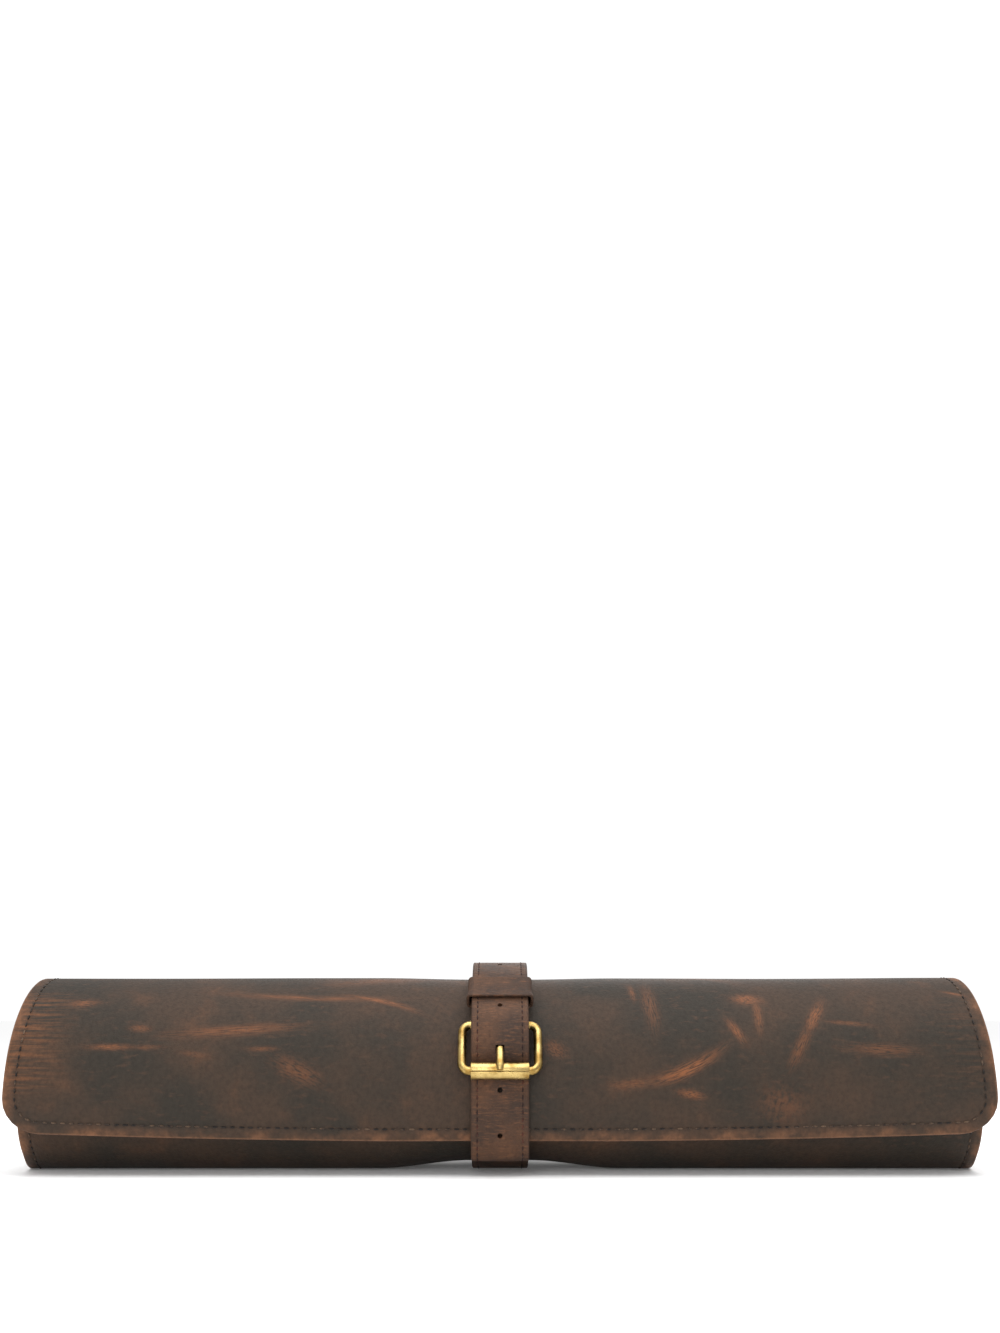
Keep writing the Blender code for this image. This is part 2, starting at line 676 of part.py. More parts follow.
def make_buckle_roller():
    """The tube that turns on the frame's front wire."""
    roller = buckle_points()[1]
    tube = bmesh.new()
    half = STRAP_WIDTH / 2
    profile = [(-half, ROLLER_RADIUS), (half, ROLLER_RADIUS),
               (half, ROLLER_RADIUS - ROLLER_WALL), (-half, ROLLER_RADIUS - ROLLER_WALL)]
    verts = [tube.verts.new((x, roller.x, roller.y + radius)) for x, radius in profile]
    edges = [tube.edges.new((verts[i], verts[(i + 1) % 4])) for i in range(4)]
    bmesh.ops.spin(tube, geom=verts + edges, cent=(0, roller.x, roller.y), axis=(1, 0, 0),
                   angle=math.radians(360), steps=20, use_merge=True)
    bmesh.ops.recalc_face_normals(tube, faces=tube.faces[:])
    finish_object("buckle_roller", tube, BRASS_FINISH)


def prong_arm():
    """Middle points of the prong's arm, from its eye to its end over the roller."""
    roller = buckle_points()[1]
    upward = (above(ROLLER_PLACE, ROLLER_HEIGHT + 0.001) - roller).normalized()
    back = Vector((upward.y, -upward.x))
    rest = ROLLER_RADIUS + GAP + PRONG_THICKNESS / 2
    arm = [bar_point(PRONG_EYE_END, BAR_RADIUS + GAP + PRONG_EYE / 2)]
    for angle in PRONG_REST:
        turn = math.radians(angle)
        arm.append(roller + rest * (math.cos(turn) * back + math.sin(turn) * upward))
    return arm


def make_buckle_prong():
    """The prong: an eye round the bar, then an arm through the strap's hole to the roller."""
    eye = BAR_RADIUS + GAP + PRONG_EYE / 2
    eye_angles = range(PRONG_EYE_START, PRONG_EYE_END, PRONG_EYE_STEP)
    rows = [(bar_point(angle, eye), PRONG_EYE) for angle in eye_angles]
    rows += [(point, PRONG_THICKNESS if i else PRONG_EYE) for i, point in enumerate(prong_arm())]
    framed = ribbon_frame(rows)
    sheet = blank((0, framed[-1][0]), (-PRONG_WIDTH / 2, PRONG_WIDTH / 2), (-0.5, 0.5))
    bend_ribbon("buckle_prong", sheet, framed, BRASS_FINISH)


def settle_on_origin():
    """Moves the whole roll so that the middle of its underside is the origin."""
    bpy.context.view_layer.update()
    corners = [Vector(corner) for piece in ROLL.objects for corner in piece.bound_box]
    middle_y = (min(c.y for c in corners) + max(c.y for c in corners)) / 2
    lowest = min(c.z for c in corners)
    for piece in ROLL.objects:
        if piece.type == 'MESH':
            for vert in piece.data.vertices:
                vert.co.y -= middle_y
                vert.co.z -= lowest
        else:
            piece.location = (0, -middle_y, -lowest)


remove_everything()
ROLL = bpy.data.collections.new("chef_knife_roll")
PUNCHES = bpy.data.collections.new("punches")
bpy.context.scene.collection.children.link(ROLL)
bpy.context.scene.collection.children.link(PUNCHES)

LEATHER_FINISH = material("leather", (0.062, 0.043, 0.034), 0.55)
STRAP_FINISH = material("strap_leather", (0.105, 0.052, 0.036), 0.55)
SUEDE_FINISH = material("suede", (0.045, 0.022, 0.021), 0.95)
TAPE_FINISH = material("zip_tape", (0.020, 0.014, 0.012), 0.9)
BRASS_FINISH = material("brass", (0.52, 0.32, 0.09), 0.3, metallic=1.0)

make_outer_panel()
make_lining()
make_knife_pocket()
make_pocket_band()
make_divider_strip()
make_top_flap()
make_zip()
make_strap()
make_keeper()
make_buckle_frame()
make_buckle_roller()
make_buckle_prong()
settle_on_origin()
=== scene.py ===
# %% [markdown]
# A knife roll is one square of oiled hide with suede sewn inside it. Buckled up, it is a spiral of sheets.
# It could be modelled as a cylinder with a texture, but then its ends, edges and layers would be missing.
# So every sheet is made flat here, the way it is cut on the bench, and one rule rolls all of them up.
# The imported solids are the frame: they say where each piece lies, and this script dresses them.

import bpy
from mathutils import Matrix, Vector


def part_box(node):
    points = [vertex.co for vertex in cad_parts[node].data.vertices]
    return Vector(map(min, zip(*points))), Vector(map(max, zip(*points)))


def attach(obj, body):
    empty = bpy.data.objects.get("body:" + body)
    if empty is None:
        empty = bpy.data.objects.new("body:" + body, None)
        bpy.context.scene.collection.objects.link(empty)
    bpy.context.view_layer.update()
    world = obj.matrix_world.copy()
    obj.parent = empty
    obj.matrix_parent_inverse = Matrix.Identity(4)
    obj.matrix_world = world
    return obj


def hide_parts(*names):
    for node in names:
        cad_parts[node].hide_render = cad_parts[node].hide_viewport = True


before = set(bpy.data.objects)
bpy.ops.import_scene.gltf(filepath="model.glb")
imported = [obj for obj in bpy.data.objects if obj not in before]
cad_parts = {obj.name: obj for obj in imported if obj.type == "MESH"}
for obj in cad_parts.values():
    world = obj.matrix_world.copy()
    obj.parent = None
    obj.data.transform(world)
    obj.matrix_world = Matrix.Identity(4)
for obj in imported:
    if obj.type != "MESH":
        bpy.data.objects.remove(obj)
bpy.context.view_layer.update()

import bisect
import math

import bmesh
import bpy
from mathutils import Matrix, Vector, noise

# %% [markdown]
# The camera stands low in front of the roll and looks slightly upwards over it, because the photograph
# shows the front nearly level, with the roll low in its frame. The lens comes from the roll's perspective:
# its near bottom edge is a little longer in the picture than its far top edge.

# %% Camera
PHOTO_LONG_SIDE = 1333
SENSOR = 36.0
FOCAL_PIXELS = 1362
CAMERA_DISTANCE = 0.733
CAMERA_HEIGHT = 0.074
CAMERA_LIFT = 14.45

lens = bpy.data.cameras.new("camera")
lens.sensor_width = SENSOR
lens.sensor_fit = 'AUTO'
lens.lens = FOCAL_PIXELS * SENSOR / PHOTO_LONG_SIDE
lens.clip_start = 0.01
camera = bpy.data.objects.new("camera", lens)
camera.location = (0.0, -CAMERA_DISTANCE, CAMERA_HEIGHT)
camera.rotation_euler = (math.radians(90 + CAMERA_LIFT), 0.0, 0.0)
bpy.context.scene.collection.objects.link(camera)
bpy.context.scene.camera = camera
print("lens:", round(lens.lens, 2), "mm")

# %% [markdown]
# The roll's cross-section is a path that turns from the flap's edge, over the top, down the back, along the
# floor and on into a tightening core. Walking it one degree at a time gives, for each distance across the
# flat panel, a place and a turn angle. A spiral formula would be shorter, but leather doesn't roll evenly:
# the flap's edge is stiff, the bottom is flat where it rests, and the core curls up in less room.

# %% The path
PANEL_ACROSS = 0.485
PANEL_LENGTH = 0.480
ROLL_RADIUS = 0.0490
FLAT_RUN = 0.014
TURN_PITCH = 0.0080
FLAP_TURN = -20
FLAP_STIFFNESS = 0.7
FLAP_STIFF_SPREAD = 14.0
CURL_START = 385.0
CURL_END = 640.0
CURL_SHARE = 0.42


def turn_radius(turn):
    """Radius of the roll at a turn angle: 0 faces front, 90 up, 180 back and 270 down."""
    radius = ROLL_RADIUS + FLAT_RUN / math.pi * math.sin(math.radians(turn))
    radius -= TURN_PITCH * (turn - 90) / 360
    radius *= 1 + FLAP_STIFFNESS * math.exp(-((turn - FLAP_TURN) / FLAP_STIFF_SPREAD) ** 2)
    if turn > CURL_START:
        radius *= 1 - (1 - CURL_SHARE) * (turn - CURL_START) / (CURL_END - CURL_START)
    return radius


def walk_path():
    """Rows of (across, y, z, turn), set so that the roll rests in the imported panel's box."""
    across, y, z, turn = 0.0, 0.0, 0.0, FLAP_TURN
    rows = [(across, y, z, turn)]
    while across < PANEL_ACROSS:
        middle = math.radians(turn + 0.5)
        step = turn_radius(turn + 0.5) * math.radians(1)
        across += step
        y += step * math.sin(middle)
        z += step * math.cos(middle)
        turn += 1
        rows.append((across, y, z, turn))
        if turn == 270:
            across += FLAT_RUN
            y -= FLAT_RUN
            rows.append((across, y, z, turn))
    low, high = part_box("outer_panel")
    shift_y = high.y - max(row[1] for row in rows)
    shift_z = low.z - min(row[2] for row in rows)
    return [(row[0], row[1] + shift_y, row[2] + shift_z, row[3]) for row in rows]


PATH = walk_path()
ACROSS_STEPS = [row[0] for row in PATH]


def on_path(across):
    """Point (y, z) and turn angle of the outer face at a distance from the flap's edge."""
    i = min(len(PATH) - 1, max(1, bisect.bisect_left(ACROSS_STEPS, across)))
    first, second = PATH[i - 1], PATH[i]
    share = (across - first[0]) / (second[0] - first[0])
    return tuple(first[k] + share * (second[k] - first[k]) for k in (1, 2, 3))


def across_at(turn):
    """Distance from the flap's edge at which the outer face has a turn angle."""
    return next((row[0] for row in PATH if row[3] >= turn), PATH[-1][0])


print("path:", len(PATH), "rows, ends at turn", PATH[-1][3])

# %% [markdown]
# Three things bend the rolled sheets away from the plain path. The strap squeezes the roll at its middle,
# and by its whole thickness underneath, so that both rest on the floor. The flap's edge rises at its ends,
# and the panel's own ends curl inwards under it. And oiled leather is never flat, so a slow swell moves all
# sheets together by a few tenths of a millimetre. The swell dies out under the strap and on the floor.

# %% From the flat panel to the roll
STRAP_WIDTH = 0.028
STRAP_LEATHER = 0.0035
GAP = 0.0003
SHEET_GAP = 0.00045
WAIST = 0.0006
SQUEEZE_EDGE = STRAP_WIDTH / 2 + 0.0015
SQUEEZE_FADE = 0.045
SQUEEZE_END = SQUEEZE_EDGE + SQUEEZE_FADE
RECESS_TURNS = 70.0
RECESS_FADE = 62.0
EDGE_BOW = 0.0043
EDGE_RISE = 0.0032
BOW_REACH = 0.045
END_DRAW = 0.0045
DRAW_START = 250
DRAW_TURNS = 60
SWELL = 0.00045
REST_TURNS = 12.0
REST_FADE = 30.0
SWELL_WAVES = Vector((16.0, 11.0, 1.0))


def ease(share):
    """Smooth step from 0 to 1."""
    share = min(1.0, max(0.0, share))
    return share * share * (3 - 2 * share)


def squeeze(along, turn):
    """How far the strap draws the roll in."""
    near = ease((SQUEEZE_END - abs(along)) / SQUEEZE_FADE)
    below = ease((RECESS_TURNS - abs(turn % 360 - 270)) / RECESS_FADE)
    return near * (WAIST + below * (STRAP_LEATHER + GAP - WAIST))


def swell(across, along, turn):
    """Slow waves in the leather, which fade out towards the strap and where the roll rests."""
    wave = noise.noise(Vector((across * SWELL_WAVES.x, along * SWELL_WAVES.y, SWELL_WAVES.z)))
    free = ease((abs(turn % 360 - 270) - REST_TURNS) / REST_FADE)
    return SWELL * wave * free * ease((abs(along) - SQUEEZE_EDGE) / SQUEEZE_FADE)


def draw_in(along, turn):
    """Place along the roll: under the flap and further in, the panel's ends curl inwards."""
    outer = max(0.0, abs(along) / (PANEL_LENGTH / 4) - 1)
    draw = END_DRAW * outer ** 2 * ease((turn - DRAW_START) / DRAW_TURNS)
    return along - math.copysign(draw, along)


def rolled(across, along, depth):
    """Place in the finished roll of a point on the flat panel; depth is inwards from the outer face."""
    y, z, turn = on_path(across)
    inward = depth + squeeze(along, turn) + swell(across, along, turn)
    place = draw_in(along, turn)
    turn = math.radians(turn)
    return Vector((place, y + inward * math.cos(turn), z - inward * math.sin(turn)))


def bowed(across, along):
    """Distance across after the flap's edge has risen at its ends and sunk towards its middle."""
    drop = EDGE_BOW * (1 - (2 * along / PANEL_LENGTH) ** 2) - EDGE_RISE
    return across - drop * ease(1 - across / BOW_REACH)


# %% [markdown]
# Shader maths is easier to read as sums than as a drawing of nodes. A Mark wraps one socket and overloads
# the operators, so 1 - mask adds a Math node. A Recipe is one material, and its node method makes any other
# node. Only what changes over the surface is linked, and the rest is typed into the shader's own sockets.

# %% A small language for finishes


def rgb(red, green, blue):
    """A screen colour, 0 to 255, as the linear colour that a shader takes."""
    parts = [value / 255 for value in (red, green, blue)]
    linear = [part / 12.92 if part <= 0.04045 else ((part + 0.055) / 1.055) ** 2.4 for part in parts]
    return (*linear, 1.0)


class Mark:
    """A socket of a recipe, so that shader maths reads as sums."""

    def __init__(self, recipe, socket):
        self.recipe = recipe
        self.socket = socket

    def work(self, operation, *values):
        return self.recipe.node("ShaderNodeMath", {"operation": operation}, values)

    def __add__(self, other):
        return self.work("ADD", self, other)

    def __radd__(self, other):
        return self.work("ADD", other, self)

    def __sub__(self, other):
        return self.work("SUBTRACT", self, other)

    def __rsub__(self, other):
        return self.work("SUBTRACT", other, self)

    def __mul__(self, other):
        return self.work("MULTIPLY", self, other)

    def __truediv__(self, other):
        return self.work("DIVIDE", self, other)

    def __rpow__(self, other):
        return self.work("POWER", other, self)

    def __abs__(self):
        return self.work("ABSOLUTE", self)

    def sine(self):
        return self.work("SINE", self)

    def at_least(self, other):
        return self.work("MAXIMUM", self, other)

    def at_most(self, other):
        return self.work("MINIMUM", self, other)

    def ramp(self, low, high):
        """0 below low, 1 above high and smooth between them; low may be the larger one."""
        limits = {"Value": self, "From Min": low, "From Max": high}
        return self.recipe.node("ShaderNodeMapRange", {"interpolation_type": "SMOOTHSTEP"}, limits)


class Recipe:
    """One material, built from its Principled shader outwards."""

    def __init__(self, name, **constants):
        self.material = bpy.data.materials.new(name)
        self.material.use_nodes = True
        self.tree = self.material.node_tree
        self.shader = self.tree.nodes["Principled BSDF"]
        for socket, value in constants.items():
            self.shader.inputs[socket.replace("_", " ")].default_value = value

    def node(self, kind, settings=None, inputs=(), output=0):
        """Any node: its settings come first, then the values or links of its sockets."""
        made = self.tree.nodes.new(kind)
        for setting, value in (settings or {}).items():
            setattr(made, setting, value)
        for place, value in (inputs.items() if isinstance(inputs, dict) else enumerate(inputs)):
            self.feed(made.inputs[place], value)
        return Mark(self, made.outputs[output])

    def feed(self, socket, value):
        if isinstance(value, Mark):
            self.tree.links.new(value.socket, socket)
        else:
            socket.default_value = value

    def cut(self):
        """The place on the flat piece: across, along and depth, in metres."""
        return self.node("ShaderNodeAttribute", {"attribute_name": "cut"}, output=1)

    def parts(self, vector):
        """The three numbers of a vector."""
        return [self.node("ShaderNodeSeparateXYZ", None, (vector,), output=i) for i in range(3)]

    def noise(self, where, scale, detail=2.0, roughness=0.5):
        return self.node("ShaderNodeTexNoise", None,
                         {"Vector": where, "Scale": scale, "Detail": detail, "Roughness": roughness})

    def pebbles(self, where, scale):
        return self.node("ShaderNodeTexVoronoi", {"feature": "F1"}, {"Vector": where, "Scale": scale})

    def stretched(self, vector, factors):
        return self.node("ShaderNodeVectorMath", {"operation": "MULTIPLY"}, (vector, factors))

    def blend(self, share, first, second, how="MIX"):
        """A colour between two others."""
        settings = {"data_type": "RGBA", "blend_type": how}
        return self.node("ShaderNodeMix", settings, {0: share, 6: first, 7: second}, output=2)

    def finish(self, colour, roughness, height, relief):
        """Joins the colour, the roughness and a relief in metres to the shader."""
        self.feed(self.shader.inputs["Base Color"], colour)
        self.feed(self.shader.inputs["Roughness"], roughness)
        bump = self.node("ShaderNodeBump", None, {"Height": height, "Distance": relief, "Strength": 1.0})
        self.feed(self.shader.inputs["Normal"], bump)
        print("finish:", self.material.name, len(self.tree.nodes), "nodes")
        return self.material


# %% [markdown]
# The hide is pull-up leather: dark waxed skin that turns orange-brown wherever it was bent or rubbed. Its
# scuffs are what one recognises first, so they are a chart of strokes on the flat panel, each with its
# place, heading, size and strength. Painting an image would be quicker, but a chart keeps every stroke
# editable, and brushed noise along each stroke makes it look rubbed and not airbrushed.

# %% The hide's scuffs
SCUFFS = [  # across mm, along mm, heading, half length mm, half width mm, bend, strength
    (74.0, -97, -3, 34, 2.0, -1.0, 0.60),
    (71.8, -60, -17, 16, 1.7, 1.0, 0.85),
    (53.0, -130, 4, 27, 2.7, 0.0, 0.62),
    (44.2, -190, 0, 10, 1.4, 0.0, 0.75),
    (44.2, -172, 0, 8, 1.2, 0.0, 0.40),
    (70.0, -209, 4, 7, 2.8, 0.0, 0.60),
    (54.0, -177, -5, 5, 1.8, 0.0, 0.55),
    (43.3, -116, 0, 7, 1.3, 0.0, 0.45),
    (40.7, -149, -8, 6, 1.3, 0.0, 0.32),
    (32.6, -98, -24, 11, 4.4, 0.0, 0.45),
    (33.0, 90, 23, 16, 2.7, -1.5, 1.00),
    (27.0, 64, 5, 9, 2.0, 0.0, 0.50),
    (73.2, 124, -4, 6, 3.4, 0.0, 1.00),
    (62.0, 128, -92, 9, 1.9, 0.0, 0.60),
    (52.8, 116, -60, 6.5, 2.0, 0.0, 0.75),
    (22.2, 92, -11, 5.5, 1.8, 0.0, 0.85),
    (61.0, 156, 61, 9, 2.5, 0.0, 0.85),
    (45.0, 147, 61, 11, 2.7, 0.0, 0.50),
    (57.0, 172, -6, 9, 1.2, 0.0, 0.50),
    (43.0, 186, -2, 15, 2.7, 0.0, 0.45),
    (77.4, 230, -20, 5, 1.0, 0.0, 0.75),
    (69.5, 75, -86, 15, 3.6, 0.0, 0.42),
    (79.0, 67, -86, 7, 1.6, 0.0, 0.50),
    (43.4, 27, -36, 5, 3.5, 0.0, 0.45),
    (17.0, 136, 85, 8, 10.0, 0.0, 0.32),
    (95.0, -60, 10, 30, 5.0, 3.0, 0.40),
    (110.0, 90, -25, 26, 3.0, 2.0, 0.60),
    (150.0, -150, 30, 34, 2.4, 3.0, 0.80),
    (172.0, 40, -12, 40, 3.0, -2.0, 0.70),
    (190.0, 175, 60, 22, 2.6, 4.0, 0.75),
    (205.0, -80, -40, 24, 2.0, 0.0, 0.60),
    (226.0, 120, 15, 30, 2.8, 2.0, 0.65),
    (262.0, -170, 5, 36, 2.2, 0.0, 0.60),
    (332.0, 96, -8, 22, 2.0, 0.0, 0.45),
]
BORDER_WIDTH = 0.0065
HANDLED_REACH = 0.036
HANDLED_PLACE = 0.050
HANDLED_NEAR = 0.020
HANDLED_FAR = 0.034
MILLIMETRE = 0.001
NATURAL_E = 2.718


def stroke(recipe, across, along, row):
    """The mask of one rubbed stroke, with its brush marks."""
    place_across, place_along, heading, half_length, half_width, bend, strength = row
    cosine, sine = math.cos(math.radians(heading)), math.sin(math.radians(heading))
    shrink = 1 / (half_length * MILLIMETRE)
    right = (along - place_along * MILLIMETRE) * shrink
    up = (across - place_across * MILLIMETRE) * shrink
    run = right * cosine + up * sine
    side = (up * cosine - right * sine) * (half_length / half_width) + run * run * bend / half_width
    mask = NATURAL_E ** ((run * run + side * side) * -1.0)
    lane = recipe.node("ShaderNodeCombineXYZ", None, (run * 1.5, side * 2.2, float(half_length)))
    brush = recipe.noise(lane, 2.2, 3.0)
    return mask * brush.ramp(0.28, 0.62) * strength


def hide_finish():
    """The outer leather: waxed, mottled, scuffed, and tan along its turned edge."""
    recipe = Recipe("oiled_hide", Specular_IOR_Level=0.17)
    cut = recipe.cut()
    across, along, depth = recipe.parts(cut)
    cloud = recipe.noise(cut, 17, 3.0, 0.55)
    blotch = recipe.noise(cut, 58, 4.0, 0.62)
    fine = recipe.noise(cut, 420, 3.0, 0.6)
    drawn = recipe.noise(recipe.stretched(cut, (3.0, 1.0, 1.0)), 130, 3.0, 0.6)
    brushed = recipe.noise(recipe.stretched(cut, (15.0, 1.0, 1.0)), 42, 3.0, 0.6)
    scuffed = stroke(recipe, across, along, SCUFFS[0])
    for row in SCUFFS[1:]:
        scuffed = scuffed.at_least(stroke(recipe, across, along, row))
    scuffed = scuffed * (0.30 + fine * 1.3)
    rubbed = blotch.ramp(0.50, 0.74) * cloud.ramp(0.42, 0.68)
    streaks = drawn.ramp(0.52, 0.72) * cloud.ramp(0.64, 0.36)
    colour = recipe.blend(cloud.ramp(0.36, 0.64), rgb(47, 42, 36), rgb(63, 49, 39))
    colour = recipe.blend(rubbed * 0.45, colour, rgb(98, 66, 46))
    colour = recipe.blend(streaks * 0.30, colour, rgb(92, 64, 48))
    to_side = PANEL_LENGTH / 2 - abs(along)
    to_edge = across.at_most(PANEL_ACROSS - across).at_most(to_side)
    handled = to_side.ramp(HANDLED_REACH, 0.004) * abs(across - HANDLED_PLACE).ramp(HANDLED_FAR, HANDLED_NEAR)
    handled = handled * brushed.ramp(0.36, 0.70) * (0.48 - along * 1.3)
    colour = recipe.blend(handled.at_most(0.8), colour, rgb(112, 72, 46))
    colour = recipe.blend(scuffed.at_most(0.92), colour, rgb(134, 82, 50))
    worn = to_edge.ramp(BORDER_WIDTH * 1.1, 0.0010) * (0.12 + blotch.ramp(0.40, 0.64) * 0.80)
    worn = worn * (0.62 + cloud.ramp(0.44, 0.60) * 0.38)
    colour = recipe.blend(worn, colour, rgb(120, 82, 58))
    rim = to_edge.ramp(0.0016, 0.0004)
    colour = recipe.blend(rim * 0.55, colour, rgb(132, 94, 70))
    inner = depth.ramp(0.0012, 0.0018)
    colour = recipe.blend(inner * 0.5, colour, rgb(76, 54, 42))
    colour = recipe.blend(fine.ramp(0.35, 0.75) * 0.34, colour, rgb(28, 24, 22))
    pores = recipe.pebbles(cut, 1150)
    wrinkle = recipe.noise(recipe.stretched(cut, (1.0, 2.4, 1.0)), 240, 4.0, 0.6)
    height = pores * 0.35 + fine * 0.5 + wrinkle * 0.9
    roughness = 0.62 - scuffed * 0.10 + fine * 0.10
    return recipe.finish(colour, roughness, height, 0.00028)


HIDE = hide_finish()

# %% [markdown]
# The other finishes follow the same way. Suede is brushed flesh side, dark and without gloss. The strap is
# redder than the hide and shows fine lines across it. Its edges are cut, so the two plies show as a line.
# The brass is aged: golden, with browner patches, darker specks and fine scratches.

# %% The other finishes
WEAVE = 7000
TWIST = 9000


def suede_finish():
    """The flesh side inside: soft, dark red-brown, with brushed patches."""
    recipe = Recipe("suede", Specular_IOR_Level=0.10, Sheen_Weight=0.10, Sheen_Tint=rgb(150, 100, 90))
    cut = recipe.cut()
    patch = recipe.noise(cut, 34, 4.0, 0.6)
    nap = recipe.noise(cut, 1400, 3.0, 0.7)
    brushed = recipe.noise(recipe.stretched(cut, (1.0, 5.0, 1.0)), 180, 3.0, 0.6)
    colour = recipe.blend(patch.ramp(0.36, 0.66), rgb(52, 30, 29), rgb(84, 48, 42))
    colour = recipe.blend(brushed.ramp(0.5, 0.78) * 0.4, colour, rgb(80, 52, 44))
    return recipe.finish(colour, 0.9 + nap * 0.1, nap + brushed * 0.4, 0.0003)


def leather_finish(name, dark, light, scale):
    """Plain smooth leather for the small pieces inside."""
    recipe = Recipe(name, Specular_IOR_Level=0.28)
    cut = recipe.cut()
    patch = recipe.noise(cut, scale, 4.0, 0.6)
    fine = recipe.noise(cut, 520, 3.0, 0.6)
    colour = recipe.blend(patch.ramp(0.36, 0.66), dark, light)
    colour = recipe.blend(fine.ramp(0.4, 0.8) * 0.35, colour, rgb(42, 32, 26))
    return recipe.finish(colour, 0.58 + fine * 0.12, fine + recipe.pebbles(cut, 1100) * 0.5, 0.00022)


def strap_finish():
    """The strap's leather: red-brown, lined across, with a seam between its plies."""
    recipe = Recipe("strap_leather", Specular_IOR_Level=0.2)
    cut = recipe.cut()
    run, side, height_in_strap = recipe.parts(cut)
    patch = recipe.noise(cut, 60, 4.0, 0.6)
    fine = recipe.noise(cut, 480, 3.0, 0.6)
    lines = recipe.noise(recipe.stretched(cut, (7.0, 1.0, 1.0)), 210, 3.0, 0.65)
    colour = recipe.blend(patch.ramp(0.34, 0.66), rgb(56, 42, 34), rgb(80, 55, 39))
    colour = recipe.blend(lines.ramp(0.48, 0.70) * 0.6, colour, rgb(106, 70, 47))
    colour = recipe.blend(fine.ramp(0.45, 0.75) * 0.5, colour, rgb(44, 32, 27))
    to_edge = STRAP_WIDTH / 2 - abs(side)
    colour = recipe.blend(to_edge.ramp(0.0014, 0.0) * 0.5, colour, rgb(50, 37, 30))
    ply = abs(height_in_strap).ramp(0.00035, 0.0001) * to_edge.ramp(0.0007, 0.0001)
    colour = recipe.blend(ply * 0.8, colour, rgb(30, 22, 18))
    relief = lines * 0.8 + fine * 0.5 + recipe.pebbles(cut, 1200) * 0.3 - ply
    return recipe.finish(colour, 0.60 + fine * 0.12, relief, 0.0003)


def brass_finish():
    """Aged brass: golden where it is handled, browner in patches, with fine scratches."""
    recipe = Recipe("aged_brass", Metallic=1.0)
    place = recipe.node("ShaderNodeTexCoord", output=3)
    patch = recipe.noise(place, 160, 4.0, 0.6)
    speck = recipe.noise(place, 1500, 2.0, 0.6)
    scratch = recipe.noise(recipe.stretched(place, (1.0, 9.0, 9.0)), 500, 2.0, 0.5)
    colour = recipe.blend(patch.ramp(0.38, 0.68), rgb(194, 168, 108), rgb(140, 110, 56))
    colour = recipe.blend(speck.ramp(0.56, 0.74) * 0.5, colour, rgb(120, 88, 44))
    roughness = 0.22 + patch * 0.14 + speck.ramp(0.5, 0.8) * 0.15
    return recipe.finish(colour, roughness, scratch + speck * 0.5, 0.00005)


def cloth_finish():
    """The zip's woven tape."""
    recipe = Recipe("woven_tape", Specular_IOR_Level=0.15)
    cut = recipe.cut()
    across, along, _ = recipe.parts(cut)
    weave = (across * WEAVE).sine() * (along * WEAVE).sine()
    fade = recipe.noise(cut, 60, 3.0)
    colour = recipe.blend(fade, rgb(36, 30, 28), rgb(50, 42, 38))
    return recipe.finish(colour, 0.85 + fade * 0.1, weave, 0.0001)


def thread_finish(name, dark, light):
    """Waxed thread, a little lighter where it is rubbed."""
    recipe = Recipe(name, Specular_IOR_Level=0.3)
    cut = recipe.cut()
    across, along, _ = recipe.parts(cut)
    worn = recipe.noise(cut, 90, 4.0, 0.7)
    colour = recipe.blend(worn.ramp(0.46, 0.62), dark, light)
    return recipe.finish(colour, 0.55 + worn * 0.15, ((across + along) * TWIST).sine(), 0.00008)


SUEDE = suede_finish()
TRIM = leather_finish("trim_leather", rgb(57, 43, 35), rgb(78, 56, 43), 60)
STRAP = strap_finish()
BRASS = brass_finish()
TAPE_CLOTH = cloth_finish()
THREAD = thread_finish("hide_thread", rgb(26, 21, 18), rgb(96, 76, 60))
STRAP_THREAD = thread_finish("strap_thread", rgb(36, 17, 13), rgb(82, 44, 32))

# %% [markdown]
# A sheet starts as a box of its real thickness. Its corners are rounded, its rims softened, and then it is
# cut along many lines, so that it can bend. Keeping a copy of each vertex's flat place in an attribute
# named cut lets grain and scuffs follow the leather round the roll, as on a real hide.

# %% Cutting sheets
CUT_PITCH = 0.004
TURN_PITCH_FINE = 3
TURN_PITCH_COARSE = 6
CUT_MARGIN = 0.0008


def round_edges(shape, edges, width, steps):
    """Bevels edges into rounds of a few steps."""
    bmesh.ops.bevel(shape, geom=edges, offset=width, offset_type='OFFSET', segments=steps, profile=0.5,
                    affect='EDGES', material=-1)


def blank(across, along, depth, corner=0.0, rim=0.0, corner_steps=6):
    """A flat sheet between (low, high) limits, with rounded corners and softened rims."""
    sheet = bmesh.new()
    bmesh.ops.create_cube(sheet, size=1.0)
    spans = (across, along, depth)
    for vert in sheet.verts:
        vert.co = Vector([low + (vert.co[i] + 0.5) * (high - low) for i, (low, high) in enumerate(spans)])
    if corner:
        upright = [edge for edge in sheet.edges if abs(edge.verts[0].co.z - edge.verts[1].co.z) > 1e-6]
        round_edges(sheet, upright, corner, corner_steps)
    if rim:
        soften(sheet, rim)
    return sheet


def soften(sheet, width, steps=3):
    """Rounds the edges between a sheet's faces and its sides."""
    rims = [edge for edge in sheet.edges if len(edge.link_faces) == 2
            and abs(abs(edge.link_faces[0].normal.z) - abs(edge.link_faces[1].normal.z)) > 0.9]
    round_edges(sheet, rims, width, steps)


